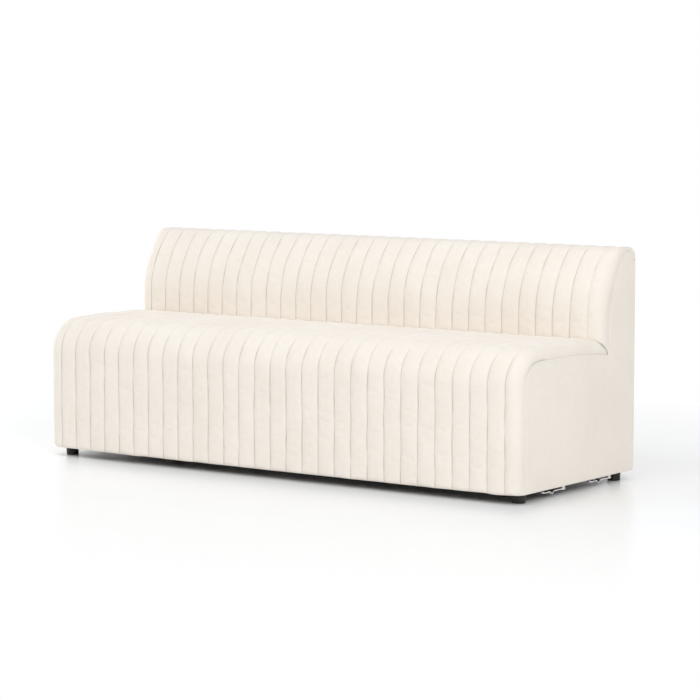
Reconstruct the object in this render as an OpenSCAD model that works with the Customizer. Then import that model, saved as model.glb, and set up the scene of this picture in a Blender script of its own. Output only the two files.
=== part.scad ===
// Channel-tufted dining bench: a sprung seat and a low padded back on a timber frame.
// Millimetres, +Z up, origin on the floor under the middle. The sitter faces -Y.

/* [Bench] */
// Width over the end channels
overall_w = 1930; // [1600:10:2200]
// Depth from the crowns of the front channels to the rear cover
overall_d = 720; // [690:5:780]
// Height from the floor to the crowns on top of the back
overall_h = 770; // [755:5:830]
// Height of a foot, from the floor to the underside
foot_h = 33; // [28:1:60]

/* [Channels] */
// Number of sewn channels across the bench
channel_count = 30; // [24:2:34]
// Height of a channel's crown over its seams
channel_proud = 5; // [2:0.5:8]
// Thickness of the quilted cloth and wadding at a seam
quilt_t = 20; // [14:1:24]
// Radius of the end channels round the corners
edge_r = 30; // [22:1:34]
// Thickness of the quilted cloth over the top of the back
top_quilt_t = 10; // [7:1:10]
// Turn-under of the quilt at its bottom edge
tuck = 8; // [4:1:10]

/* [Seat] */
// Height of the seams at the crown of the seat
seat_crown_h = 480; // [465:1:492]
// Fall of the seat from its crown to the back
seat_fall = 5; // [3:1:12]
// Distance from the crown of the seat to the back
crown_to_back = 198; // [180:2:220]
// Radius of the seat's front edge
nose_r = 112; // [100:2:124]
// Thickness of the seat foam at the crown
seat_foam_t = 122; // [112:1:126]

/* [Back] */
// Thickness of the back at the seat
back_t = 227; // [215:1:245]
// Height of the curved part of the back's face
back_curve_h = 225; // [210:5:232]
// Radius of the back's curved face
back_face_r = 285; // [270:5:310]
// Radius of the front of the back's top edge
back_top_r = 60; // [45:5:75]
// Radius of the rear of the back's top edge
back_rear_r = 40; // [30:1:45]
// Radius of the end channel where it crosses the top of the back
back_end_r = 10; // [6:1:14]
// Thickness of the back foam at the seat
back_foam_t = 111; // [105:1:118]

/* [Side seams] */
// Distance of the side seam behind the front seams
side_wrap = 40; // [38:1:48]
// Distance of the side seam below the crown of the seat
side_top_wrap = 38; // [34:1:46]
// Radius of the side seam round the seat's front edge
side_seam_r = 69; // [55:1:80]
// Fall of the side seam from the crown to the back
side_seam_fall = 15; // [8:1:20]
// Distance of the side seam behind the back's face
crease_wrap = 57; // [50:1:64]
// Radius of the side seam up the back
back_seam_r = 420; // [380:5:520]
// Height of the curved part of that seam below the top
back_seam_drop = 280; // [262:2:286]
// Distance of that seam below the top of the back
rear_wrap = 12; // [11:1:16]

/* [Covers] */
// Thickness of the side covers with their wadding
side_pad_t = 10; // [6:1:14]
// Thickness of the rear cover with its wadding
rear_pad_t = 8; // [4:1:10]
// Drop of the covers below the underside
skirt_drop = 3; // [1:0.5:6]
// Thickness of the dust cover
dust_t = 1; // [0.6:0.2:2]
// Distance of the dust cover's edge inside the covers
dust_inset = 12; // [8:1:20]

/* [Frame] */
// Width of the rails of the base
rail_w = 48; // [44:1:60]
// Height of the rails of the base
rail_h = 44; // [40:1:60]
// Side of the blocks glued into the corners of the base
corner_block = 50; // [46:2:60]
// Thickness of the plywood end panels and ribs
panel_t = 18; // [12:1:24]
// Thickness of the front board
front_board_t = 12; // [9:1:18]
// Thickness of the rear board
rear_board_t = 3; // [2:0.5:6]
// Distance of the ribs and inner posts from the middle
rib_x = 320; // [220:10:420]
// Thickness of the two rails that carry the springs
seat_rail_t = 45; // [35:1:55]
// Height of the two rails that carry the springs
seat_rail_h = 60; // [50:1:80]
// Distance from the seat's rear rail to the back foam's rear face
seat_rail_back = 22; // [10:1:40]
// Width of the posts of the back
post_w = 45; // [30:1:60]
// Depth of the posts of the back
post_d = 60; // [45:1:70]
// Height of the back's top rail
top_rail_h = 35; // [25:1:45]
// Height of the back's lower rail
lower_rail_h = 45; // [30:1:60]
// Height of the lower rail's underside over the deck
lower_rail_rise = 82; // [60:2:110]

/* [Suspension] */
// Number of sinuous springs
spring_count = 13; // [9:2:17]
// Distance between two bars of a spring
spring_pitch = 40; // [30:2:50]
// Width of a spring
spring_w = 50; // [40:2:70]
// Thickness of the spring wire
wire_t = 3.8; // [3:0.2:5]
// Thickness of the sheet that the spring clips are made of
clip_t = 1.2; // [0.8:0.2:2]
// Distance of the springs' ends from the outer faces of their rails
spring_margin = 20; // [14:1:28]
// Thickness of the felt deck over the springs
deck_t = 3; // [2:0.5:5]
// Number of elastic webs in the back
web_count = 9; // [5:2:13]
// Width of an elastic web
web_w = 50; // [40:5:70]
// Thickness of an elastic web
web_t = 2.5; // [1.5:0.5:4]

/* [Feet] */
// Diameter of a foot at its top
foot_top_d = 45; // [36:1:50]
// Diameter of a foot at the floor
foot_base_d = 42; // [32:1:50]
// Rounding of a foot's lower edge
foot_edge_r = 3; // [1:0.5:5]
// Distance of the feet from the sides of the bench
foot_side_inset = 40; // [36:1:44]
// Distance of the front feet from the front seams
foot_front_inset = 66; // [60:1:90]
// Distance of the rear feet from the rear cover
foot_rear_inset = 65; // [55:1:72]
// Diameter of the threaded stud of a foot
stud_d = 8; // [6:1:10]
// Length of the stud inside the foot
stud_in_foot = 20; // [12:1:24]
// Length of the stud above the foot
stud_rise = 28; // [20:1:34]
// Diameter of the insert nut that takes the stud
insert_d = 12; // [11:1:16]
// Length of the insert nut
insert_l = 20; // [12:1:24]

/* [Connectors] */
// Distance from the front seams to the front connector
link_front_y = 297; // [270:1:320]
// Distance of the arms' pivots from the side of the bench
link_inset = 21; // [20:1:24]
// Length of an arm, from its pivot to its eye
arm_l = 118; // [100:1:124]
// Width of an arm
arm_w = 18; // [15:1:20]
// Thickness of an arm
arm_t = 3; // [2:0.5:4]
// Diameter of the eye
eye_d = 12; // [11.5:0.5:14]
// Width of the ring round the eye
eye_ring = 4.5; // [3:0.5:6]
// Distance from the pivot to the finger bend
bend_start = 66; // [50:1:70]
// Length of the finger bend
bend_l = 24; // [18:1:26]
// Depth of the finger bend
bend_depth = 8; // [4:0.5:8]
// Thickness of the steel plates
plate_t = 3; // [2:0.5:4]
// Height of the spacer over an arm
spacer_h = 8.2; // [6:0.2:9]
// Outer diameter of the spacer
spacer_d = 14; // [12:0.5:15]
// Diameter of the pivot rivet
rivet_d = 6; // [5:0.5:8]
// Diameter of the rivet's head
rivet_head_d = 14; // [12:0.5:16]
// Height of the rivet's head
rivet_head_h = 2.5; // [1.5:0.5:3]
// Diameter of the stud that takes a neighbour's eye
catch_d = 10; // [8:0.5:10.5]
// Length of that stud below its plate
catch_l = 15.5; // [13:0.5:17]
// Size of the plates along the bench's depth
plate_len = 64; // [56:2:80]
// Width of the blocks that carry the catch plates
link_block_w = 74; // [70:2:90]
// Length of those blocks along the bench's depth
link_block_len = 44; // [40:2:44]

/* [Fasteners] */
// Diameter of the wood screws
screw_d = 4; // [3:0.5:5]
// Diameter of a wood screw's head
screw_head_d = 8; // [6.5:0.5:9]
// Height of a wood screw's head
screw_head_h = 1.8; // [1:0.2:1.8]
// Length of the screws that hold the steel plates
plate_screw_l = 28; // [20:1:34]
// Length of the screws that hold the rails to the end panels
panel_screw_l = 50; // [35:1:60]

/* [Clearances] */
// Gap between soft covers and what they lie against
cloth_gap = 0.3; // [0.2:0.05:0.6]
// Gap between the seat cover and the back cover
crease_gap = 2.5; // [1:0.5:3]
// Gap between the side covers and the side seams
seam_gap = 0.4; // [0.3:0.05:0.8]
// Gap round screws, studs and rivets
hole_gap = 0.05; // [0.03:0.01:0.08]
// Gap above and below a swinging arm
swing_gap = 0.3; // [0.2:0.05:0.6]

/* [Hidden] */

$fn = 48;
tiny = 0.5;
end_play = 1;
cloth_color = "#f2eadf";
foam_color = "#e9d9a8";
timber_color = "#d9b98a";
ply_color = "#cfae7b";
board_color = "#9c7a52";
steel_color = "#c9ccd0";
spring_color = "#8b9096";
black_color = "#1c1c1c";
felt_color = "#8a8a86";

// Depths below are measured back from the plane of the front seams.
front_y = -overall_d / 2 + channel_proud;
end_crown = 0.6;
side_x = overall_w / 2 - end_crown * channel_proud;
back_y = overall_d - channel_proud;
top_z = overall_h - channel_proud;
panel_x = side_x - side_pad_t;
skirt_z = foot_h - skirt_drop;
base_z = foot_h + dust_t;
base_top = base_z + rail_h;
seat_d = back_y - back_t;

// The cloth that turns round both corners is shared out among all channels.
corner_cloth = (PI - 2) * edge_r;
pitch = (2 * side_x + corner_cloth) / channel_count;
seam_count = channel_count - 1;
last_seam = (seam_count - 1) / 2 * pitch;

// Levels of the seat's layers
deck_top = seat_crown_h - quilt_t - seat_foam_t;
deck_z = deck_top - deck_t;
wire_z = deck_z - wire_t;
seat_rail_top = wire_z - clip_t;
seat_rail_z = seat_rail_top - seat_rail_h;

// Depths of the frame's faces
board_y = quilt_t + cloth_gap;
frame_y = board_y + front_board_t;
rear_cover_y = back_y - rear_pad_t;
rear_board_y = rear_cover_y - rear_board_t;
post_y = rear_board_y - post_d;
foam_rear_y = seat_d + quilt_t + back_foam_t;
web_y = foam_rear_y + web_t;
base_rear_y = rear_board_y - rail_w;

// Profile of the seat: a nose arc that runs into a shallow crown
crown_y = seat_d - crown_to_back;
crown_r = (crown_to_back * crown_to_back + seat_fall * seat_fall) / (2 * seat_fall);
crown_c = [crown_y, seat_crown_h - crown_r];
nose_rise = sqrt(pow(crown_r - nose_r, 2) - pow(crown_y - nose_r, 2));
nose_c = [nose_r, crown_c[1] + nose_rise];
nose_end = atan2(nose_rise, crown_y - nose_r);
seat_end_y = seat_d - crease_gap;
seat_crease_rise = 18;
wall_rise = 22;
face_taper = 0.4;
face_seam_drop = 2;
rear_end_wrap = 19;

// Profile of the back: a curved face, a rounded top and a rounded rear edge
back_wall_rise = 18;
bend_z = max(top_z - back_curve_h, seat_crown_h + back_wall_rise);
face_c = [seat_d + back_face_r, bend_z];
top_rise = top_z - bend_z - back_top_r;
top_c = [face_c[0] - sqrt(pow(back_face_r - back_top_r, 2) - pow(top_rise, 2)), top_z - back_top_r];
face_end = atan2(top_rise, face_c[0] - top_c[0]);
rear_c = [back_y - back_rear_r, top_z - back_rear_r];
back_tuck = 4.5;
back_bottom = on_crown(seat_end_y)[1] - back_tuck;
back_wall_z = back_bottom + min(back_wall_rise, (bend_z - back_bottom) / 2);

// Course of the side seams
side_top = seat_crown_h - side_top_wrap;
side_nose_c = [side_wrap + side_seam_r, side_top - side_seam_r];
back_seam_y = seat_d + crease_wrap;
crease_step = [4, 3];
crease = [back_seam_y - crease_step[0], side_top - side_seam_fall];
seam_wall_rise = 30;
back_seam_c = [back_seam_y + back_seam_r, max(top_z - back_seam_drop, side_top + seam_wall_rise)];
seam_top = top_z - rear_wrap;
seat_end_turn = [1, -1.3];
back_end_turn = [1, -1.07];

// Places of the hardware
foot_x = overall_w / 2 - foot_side_inset;
foot_ys = [foot_front_inset, back_y - foot_rear_inset];
link_ys = [link_front_y, base_rear_y - corner_block - link_block_len / 2 - end_play];
hook_x = overall_w / 2 - link_inset;
catch_x = hook_x + arm_l - overall_w;
plate_z = foot_h - plate_t;
arm_top = plate_z - spacer_h - swing_gap;
arm_z = arm_top - arm_t;
plate_side_gap = 0.5;
hook_plate_w = 40;
catch_end_gap = 26;
plate_screw_inset = 10;
catch_screw_out = 22;
catch_screw_in = 14;
clip_w = 24;
clip_d = 14;
toe_inset = 2;
dust_hole_margin = 3;
rim_steps = 4;

// Points [depth, height] on the curves of the profiles. Angles start at the front and rise.
function bow(c, r, a) = [c[0] - r * cos(a), c[1] + r * sin(a)];
function inward(a) = [cos(a), -sin(a)];
function mix(a, b, t) = a + (b - a) * t;
function on_crown(y) = [y, crown_c[1] + sqrt(crown_r * crown_r - pow(y - crown_y, 2))];
function on_side_top(y) =
    [y, side_top - side_seam_fall * pow((y - crown_y) / (crease[0] - crown_y), 2)];
function on_back_seam(z) =
    [back_seam_c[0] - sqrt(pow(back_seam_r, 2) - pow(max(0, z - back_seam_c[1]), 2)), z];

// A station is a cut through a quilted cover, square to its profile. It holds these, in order:
seam = 0;
inwards = 1;
end_r = 2;
crown = 3;
lining = 4;
side_seam = 5;
function nose_station(t) = let (a = nose_end * t, p = bow(nose_c, nose_r, a))
    [p, inward(a), edge_r, 1, p + quilt_t * inward(a), bow(side_nose_c, side_seam_r, 90 * t)];
function crown_station(y) = let (p = on_crown(y), d = (crown_c - p) / crown_r)
    [p, d, edge_r, 1, p + quilt_t * d, on_side_top(y)];
function wall_station(y, z, side) =
    [[y, z], [1, 0], edge_r, 1, [y + quilt_t, z], side];
function face_station(t) = let (
        a = face_end * t,
        p = bow(face_c, back_face_r, a),
        r = mix(edge_r, back_end_r, max(0, 3 * t - 2) * face_taper),
        side = on_back_seam(min(p[1], seam_top - face_seam_drop))
    ) [p, inward(a), r, 1, p + quilt_t * inward(a), side];
function top_station(t) = let (
        a = mix(face_end, 90, t),
        p = bow(top_c, back_top_r, a),
        side = [mix(on_back_seam(seam_top)[0], rear_c[0], (1 + t) / 3), seam_top]
    ) [p, inward(a), mix(edge_r, back_end_r, mix(face_taper, 1, t)), 1, p + top_quilt_t * inward(a), side];
function rear_station(t) = let (
        a = 90 + 90 * t,
        p = bow(rear_c, back_rear_r, a),
        wrap = mix(rear_wrap, rear_end_wrap, t * t)
    ) [p, inward(a), back_end_r, t < 1 ? 1 : 0, p + top_quilt_t * inward(a), p + wrap * inward(a)];

seat_end = on_crown(seat_end_y);
seat_stations = [
    [[tuck, skirt_z], [1, 0], edge_r, 0, [quilt_t, skirt_z], [side_wrap, skirt_z]],
    wall_station(0, skirt_z + wall_rise, [side_wrap, skirt_z + wall_rise]),
    nose_station(0), nose_station(1 / 4), nose_station(2 / 4), nose_station(3 / 4), nose_station(1),
    crown_station(crown_y),
    crown_station((crown_y + seat_d - seat_crease_rise) / 2),
    crown_station(seat_d - seat_crease_rise),
    [seat_end, seat_end_turn, edge_r, 0, seat_end - [0, quilt_t], crease]
];
back_stations = [
    [[seat_d, back_bottom], back_end_turn, edge_r, 0, [seat_d + quilt_t, back_bottom],
        crease + crease_step],
    wall_station(seat_d, back_wall_z, on_back_seam(back_wall_z)),
    face_station(0), face_station(1 / 3), face_station(2 / 3), face_station(1),
    top_station(1 / 2), top_station(1),
    rear_station(0), rear_station(1 / 2), rear_station(1)
];

// Columns of a cover are [flat x, turn round the end, share of the crown, on the side seam].
crown_near = 0.22;
end_columns = [[0.4, 0, 0.8], [1, 0, 1], [1, 30, 1], [1, 60, 0.9], [1, 90, end_crown], [2, 90, 0]];
seam_columns = [
    for (k = [0 : seam_count - 1]) let (x = k * pitch - last_seam)
        each k < seam_count - 1
            ? [[x, 0], [x + crown_near * pitch, 1], [x + (1 - crown_near) * pitch, 1]]
            : [[x, 0]]
];

// One point of a cover: side is -1, 0 or 1, col holds [reach, turn, share] of an end column.
function end_point(s, side, col) = let (
        r = s[end_r],
        flat = mix(last_seam, side_x - r, min(col[0], 1)),
        rise = col[2] * s[crown] * channel_proud,
        d = r * (1 - cos(col[1])) - rise * cos(col[1]),
        p = col[0] > 1 ? s[side_seam] : s[seam] + d * s[inwards],
        x = flat + r * sin(col[1]) + rise * sin(col[1])
    ) [side * x, p[0], p[1]];
function seam_point(s, col) = let (p = s[seam] - col[1] * s[crown] * channel_proud * s[inwards])
    [col[0], p[0], p[1]];
function inner_point(x, p) = [x, p[0], p[1]];
last_end = len(end_columns) - 1;
function ring(s) = concat(
    [for (i = [last_end : -1 : 0]) end_point(s, -1, end_columns[i])],
    [for (c = seam_columns) seam_point(s, c)],
    [for (c = end_columns) end_point(s, 1, c)],
    [inner_point(panel_x, s[side_seam]), inner_point(panel_x, s[lining])],
    [inner_point(-panel_x, s[lining]), inner_point(-panel_x, s[side_seam])]
);

// A closed skin through a row of rings whose last four points are the inner corners
module lofted(rings) {
    n = len(rings[0]);
    m = len(rings);
    outer = n - 4;
    middle = floor(outer / 2);
    cap = concat(
        [[n - 2, n - 1, 0], [n - 3, n - 2, middle]],
        [for (j = [0 : middle - 1]) [n - 2, j, j + 1]],
        [for (j = [middle : outer - 1]) [n - 3, j, j + 1]]
    );
    sides = [
        for (i = [0 : m - 2], j = [0 : n - 1])
            let (a = i * n + j, b = i * n + (j + 1) % n, left = j < middle || j > n - 3)
                each left ? [[b, a, a + n], [b, a + n, b + n]] : [[b, a, b + n], [b + n, a, a + n]]
    ];
    polyhedron(
        points = [for (r = rings) each r],
        faces = concat(
            sides,
            cap,
            [for (t = cap) [t[2] + (m - 1) * n, t[1] + (m - 1) * n, t[0] + (m - 1) * n]]
        ),
        convexity = 6
    );
}

// Moves what is measured from the front seams to its place over the floor
module placed() {
    translate([0, front_y, 0]) children();
}

// An outline of [depth, height] points made solid between two widths
module profile_solid(points, x0, x1) {
    translate([x0, 0, 0]) rotate([90, 0, 90]) linear_extrude(x1 - x0) polygon(points);
}

// A block between two corners
module block(a, b) {
    translate(a) cube(b - a);
}

// A block that is mirrored onto the side that is -1 or 1
module side_block(side, a, b) {
    mirror([side < 0 ? 1 : 0, 0, 0]) block(a, b);
}

// A hole or shank along X that starts at a side's outer face and goes inwards
module side_pin(side, y, z, d, length) {
    translate([side * panel_x, y, z]) rotate([0, -side * 90, 0])
        translate([0, 0, -tiny]) cylinder(d = d, h = length + tiny);
}

// Rows of the screws that hold each rail to the end panels: [depth, height]
front_rail_screws = [for (z = [0.25, 0.75]) [frame_y + seat_rail_t / 2, seat_rail_z + z * seat_rail_h]];
seat_rear_y = foam_rear_y - seat_rail_back;
rear_rail_screws =
    [for (z = [0.25, 0.75]) [seat_rear_y - seat_rail_t / 2, seat_rail_z + z * seat_rail_h]];
top_rail_z = rear_c[1] - top_rail_h;
top_rail_screws = [for (t = [0.25, 0.75]) [mix(web_y, rear_board_y, t), top_rail_z + top_rail_h / 2]];
lower_rail_z = deck_top + lower_rail_rise;
lower_rail_t = post_y - web_y;
lower_rail_screws =
    [for (z = [0.3, 0.7]) [web_y + lower_rail_t / 2, lower_rail_z + z * lower_rail_h]];
all_rail_screws = concat(front_rail_screws, rear_rail_screws, top_rail_screws, lower_rail_screws);
panel_inner = panel_x - panel_t;

module rail_holes(screws) {
    for (side = [-1, 1], s = screws)
        side_pin(side, s[0], s[1], screw_d + 2 * hole_gap, panel_screw_l + end_play);
}

module rail(y0, y1, z0, z1, screws) {
    color(timber_color) placed() difference() {
        block([-panel_inner, y0, z0], [panel_inner, y1, z1]);
        rail_holes(screws);
    }
}

module seat_front_rail() {
    rail(frame_y, frame_y + seat_rail_t, seat_rail_z, seat_rail_top, front_rail_screws);
}

module seat_rear_rail() {
    rail(seat_rear_y - seat_rail_t, seat_rear_y, seat_rail_z, seat_rail_top, rear_rail_screws);
}

module back_top_rail() {
    rail(web_y, rear_board_y, top_rail_z, rear_c[1], top_rail_screws);
}

module back_lower_rail() {
    rail(web_y, post_y, lower_rail_z, lower_rail_z + lower_rail_h, lower_rail_screws);
}

module base_front_rail() {
    color(timber_color) placed()
        block([rail_w - panel_x, frame_y, base_z], [panel_x - rail_w, frame_y + rail_w, base_top]);
}

module base_rear_rail() {
    color(timber_color) placed()
        block([rail_w - panel_x, base_rear_y, base_z], [panel_x - rail_w, rear_board_y, base_top]);
}

// The side rails carry the feet, and the arms or the outer ends of the catch plates.
module base_side_rail(side) {
    color(timber_color) placed() difference() {
        side_block(side, [panel_x - rail_w, frame_y, base_z], [panel_x, rear_board_y, base_top]);
        for (y = foot_ys) translate([side * foot_x, y, base_z - tiny]) {
            cylinder(d = insert_d + 2 * hole_gap, h = insert_l + tiny);
            cylinder(d = stud_d + 2 * hole_gap, h = stud_rise + tiny + end_play);
        }
        plate_screw_holes();
    }
}

module base_left_rail() {
    base_side_rail(-1);
}

module base_right_rail() {
    base_side_rail(1);
}

module cross_rail(side) {
    color(timber_color) placed()
        side_block(side, [rib_x - rail_w / 2, frame_y + rail_w, base_z],
            [rib_x + rail_w / 2, base_rear_y, base_top]);
}

module base_cross_rail_left() {
    cross_rail(-1);
}

module base_cross_rail_right() {
    cross_rail(1);
}

// A triangular block glued into a corner of the base
module corner_brace(side, y, turn) {
    corner = [[0, 0], [corner_block, 0], [0, turn * corner_block]];
    color(timber_color) placed() mirror([side > 0 ? 1 : 0, 0, 0])
        translate([rail_w - panel_x, y, base_z]) linear_extrude(rail_h) polygon(corner);
}

module corner_block_front_left() {
    corner_brace(-1, frame_y + rail_w, 1);
}

module corner_block_front_right() {
    corner_brace(1, frame_y + rail_w, 1);
}

module corner_block_rear_left() {
    corner_brace(-1, base_rear_y, -1);
}

module corner_block_rear_right() {
    corner_brace(1, base_rear_y, -1);
}

module front_board() {
    color(board_color) placed()
        block([-panel_x, board_y, base_z], [panel_x, frame_y, deck_z]);
}

module rear_board() {
    color(board_color) placed()
        block([-panel_x, rear_board_y, base_z], [panel_x, rear_cover_y, rear_c[1] - cloth_gap]);
}

// Plywood end: as high as the deck under the seat, and up to the top rail behind the foam
module end_panel(side) {
    outline = [
        [frame_y, base_top], [rear_board_y, base_top], [rear_board_y, rear_c[1]],
        [web_y, rear_c[1]], [web_y, deck_z], [frame_y, deck_z]
    ];
    color(ply_color) placed() difference() {
        mirror([side < 0 ? 1 : 0, 0, 0]) profile_solid(outline, panel_inner, panel_x);
        for (s = all_rail_screws) {
            side_pin(side, s[0], s[1], screw_d + 2 * hole_gap, panel_t + end_play);
            side_pin(side, s[0], s[1], screw_head_d + 2 * hole_gap, screw_head_h);
        }
    }
}

module left_end_panel() {
    end_panel(-1);
}

module right_end_panel() {
    end_panel(1);
}

// Upright plywood rib on a cross rail, under both seat rails
module rib(side) {
    color(ply_color) placed()
        side_block(side, [rib_x - panel_t / 2, frame_y, base_top],
            [rib_x + panel_t / 2, post_y, seat_rail_z]);
}

module left_rib() {
    rib(-1);
}

module right_rib() {
    rib(1);
}

// The outer posts stand against the end panels, and the inner ones behind the ribs.
module post(side, x) {
    color(timber_color) placed()
        side_block(side, [x - post_w / 2, post_y, base_top], [x + post_w / 2, rear_board_y, top_rail_z]);
}

module back_post_left() {
    post(-1, panel_inner - post_w / 2);
}

module back_post_mid_left() {
    post(-1, rib_x);
}

module back_post_mid_right() {
    post(1, rib_x);
}

module back_post_right() {
    post(1, panel_inner - post_w / 2);
}

spring_y0 = frame_y + spring_margin;
spring_run = seat_rear_y - spring_margin - spring_y0;
spring_loops = floor(spring_run / spring_pitch);
spring_step = spring_run / spring_loops;
spring_gap = 2 * panel_inner / spring_count;
function spring_x(i) = (i + 0.5) * spring_gap - panel_inner;

// Sinuous spring: bars across, joined by half rings on alternate sides
module spring_outline() {
    arm = spring_w / 2 - spring_step / 2;
    for (i = [0 : spring_loops]) translate([-arm, i * spring_step - wire_t / 2])
        square([2 * arm, wire_t]);
    for (i = [0 : spring_loops - 1])
        mirror([i % 2, 0]) translate([arm, (i + 0.5) * spring_step]) difference() {
            circle(d = spring_step + wire_t);
            circle(d = spring_step - wire_t);
            translate([-spring_step, -spring_step]) square([spring_step, 2 * spring_step]);
        }
}

module seat_springs() {
    color(spring_color) placed() for (i = [0 : spring_count - 1])
        translate([spring_x(i), spring_y0, wire_z]) linear_extrude(wire_t) spring_outline();
}

// Steel plates nailed to the rails under the ends of the springs
module spring_clips() {
    color(steel_color) placed()
        for (i = [0 : spring_count - 1], y = [spring_y0, spring_y0 + spring_run])
            translate([spring_x(i) - clip_w / 2, y - clip_d / 2, seat_rail_top])
                cube([clip_w, clip_d, clip_t]);
}

module deck_felt() {
    color(felt_color) placed()
        block([-panel_x, frame_y, deck_z], [panel_x, foam_rear_y, deck_top]);
}

foam_x = panel_x - cloth_gap;

// Inner points of a row of stations, moved clear of the quilt
function under(stations) = [for (s = stations) s[lining] + cloth_gap * s[inwards]];

module seat_foam() {
    top = under([for (i = [2 : 9]) seat_stations[i]]);
    rear = [seat_end_y, seat_end[1] - quilt_t - cloth_gap];
    outline = concat([[board_y, deck_top - nose_r]], top, [rear, [seat_end_y, deck_top - nose_r]]);
    color(foam_color) placed() intersection() {
        profile_solid(outline, -foam_x, foam_x);
        block([-foam_x, 0, deck_top], [foam_x, seat_d, seat_crown_h]);
    }
}

// The foam's toe under the back cover is narrower, because the seat cover wraps round its ends.
module back_foam() {
    face = under([for (i = [1 : 10]) back_stations[i]]);
    toe_y = seat_d + quilt_t + cloth_gap;
    toe_x = side_x - edge_r - toe_inset;
    outline = concat(
        [[toe_y, deck_top]],
        face,
        [[foam_rear_y, rear_c[1]], [foam_rear_y, deck_top]]
    );
    color(foam_color) placed() {
        profile_solid(outline, -foam_x, foam_x);
        block([-toe_x, seat_end_y, deck_top], [toe_x, toe_y + tiny, back_bottom - cloth_gap]);
    }
}

module seat_cover() {
    color(cloth_color) placed() lofted([for (s = seat_stations) ring(s)]);
}

module back_cover() {
    color(cloth_color) placed() lofted([for (s = back_stations) ring(s)]);
}

module back_webbing() {
    gap = 2 * panel_inner / web_count;
    color(black_color) placed() for (i = [0 : web_count - 1])
        translate([(i + 0.5) * gap - panel_inner - web_w / 2, foam_rear_y, lower_rail_z])
            cube([web_w, web_t, rear_c[1] - lower_rail_z]);
}

module rear_cover() {
    color(cloth_color) placed()
        block([-foam_x, rear_cover_y, skirt_z], [foam_x, back_y, rear_c[1] - cloth_gap]);
}

// Side seam points of a row of stations, moved clear of the seam
function along_seam(stations) = [for (s = stations) s[side_seam] + seam_gap * s[inwards]];

// One flat piece that fills the side seams of the seat and of the back
module side_cover(side) {
    seat_edge = along_seam([for (i = [0 : 9]) seat_stations[i]]);
    back_edge = along_seam([for (i = [1 : 9]) back_stations[i]]);
    outline = concat(
        seat_edge,
        [crease - [0, seam_gap], crease + crease_step + [seam_gap, 0]],
        back_edge,
        [back_stations[10][side_seam] - [0, seam_gap], [back_y, rear_c[1] - seam_gap], [back_y, skirt_z]]
    );
    color(cloth_color) placed()
        mirror([side < 0 ? 1 : 0, 0, 0]) profile_solid(outline, panel_x, side_x);
}

module left_side_cover() {
    side_cover(-1);
}

module right_side_cover() {
    side_cover(1);
}

module dust_cover() {
    hole_d = stud_d + 2 * dust_hole_margin;
    color(black_color) placed() difference() {
        block([dust_inset - panel_x, frame_y, foot_h], [panel_x - dust_inset, rear_board_y, base_z]);
        for (side = [-1, 1], y = foot_ys) translate([side * foot_x, y, foot_h - tiny])
            cylinder(d = hole_d, h = dust_t + 2 * tiny);
        plate_screw_holes();
    }
}

module foot(side, y) {
    r0 = foot_base_d / 2;
    r1 = foot_top_d / 2;
    e = foot_edge_r;
    rim = [for (i = [0 : rim_steps]) bow([r0 - e, e], e, 180 + 90 * (1 - i / rim_steps))];
    color(black_color) placed() translate([side * foot_x, y, 0]) difference() {
        rotate_extrude() polygon(concat([[0, 0]], rim, [[r1, foot_h], [0, foot_h]]));
        translate([0, 0, foot_h - stud_in_foot])
            cylinder(d = stud_d + 2 * hole_gap, h = stud_in_foot + end_play);
    }
}

module foot_front_left() {
    foot(-1, foot_ys[0]);
}

module foot_front_right() {
    foot(1, foot_ys[0]);
}

module foot_rear_left() {
    foot(-1, foot_ys[1]);
}

module foot_rear_right() {
    foot(1, foot_ys[1]);
}

module at_feet() {
    placed() for (side = [-1, 1], y = foot_ys) translate([side * foot_x, y, 0]) children();
}

module foot_studs() {
    color(steel_color) at_feet() translate([0, 0, foot_h - stud_in_foot])
        cylinder(d = stud_d, h = stud_in_foot + stud_rise);
}

module foot_insert_nuts() {
    color(steel_color) at_feet() translate([0, 0, base_z]) difference() {
        cylinder(d = insert_d, h = insert_l);
        translate([0, 0, -1]) cylinder(d = stud_d + 2 * hole_gap, h = insert_l + 2);
    }
}

module panel_screws() {
    color(steel_color) placed() for (side = [-1, 1], s = all_rail_screws)
        translate([side * panel_x, s[0], s[1]]) rotate([0, -side * 90, 0]) {
            cylinder(d = screw_head_d, h = screw_head_h);
            cylinder(d = screw_d, h = panel_screw_l);
        }
}

// Screws of the steel plates: [x, distance from the plate's middle]
hook_screws = [for (t = [-1, 1]) [hook_x - plate_screw_inset, t * (plate_len / 2 - plate_screw_inset)]];
catch_screws = [
    [catch_screw_out - panel_x, 0],
    [catch_x + catch_screw_in, plate_screw_inset]
];
plate_screw_places = [for (y = link_ys, s = concat(hook_screws, catch_screws)) [s[0], y + s[1]]];

module plate_screw_holes() {
    for (p = plate_screw_places) translate([p[0], p[1], plate_z - tiny])
        cylinder(d = screw_d + 2 * hole_gap, h = plate_screw_l + tiny + end_play);
}

module plate_screws() {
    color(steel_color) placed() for (p = plate_screw_places) translate([p[0], p[1], plate_z]) {
        cylinder(d = screw_head_d, h = screw_head_h);
        cylinder(d = screw_d, h = plate_screw_l);
    }
}

// A steel plate under the rails with its screw holes and a hole for a rivet or a stud
module steel_plate(x0, x1, y, hole_x, hole_d) {
    color(steel_color) placed() difference() {
        block([x0, y - plate_len / 2, plate_z], [x1, y + plate_len / 2, foot_h]);
        plate_screw_holes();
        for (p = plate_screw_places) translate([p[0], p[1], plate_z - 1])
            cylinder(d = screw_head_d + 2 * hole_gap, h = screw_head_h + 1);
        translate([hole_x, y, plate_z - 1]) cylinder(d = hole_d + 2 * hole_gap, h = plate_t + 2);
    }
}

module hook_plate(y) {
    x1 = panel_x - plate_side_gap;
    steel_plate(x1 - hook_plate_w, x1, y, hook_x, rivet_d);
}

module hook_plate_front() {
    hook_plate(link_ys[0]);
}

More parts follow.
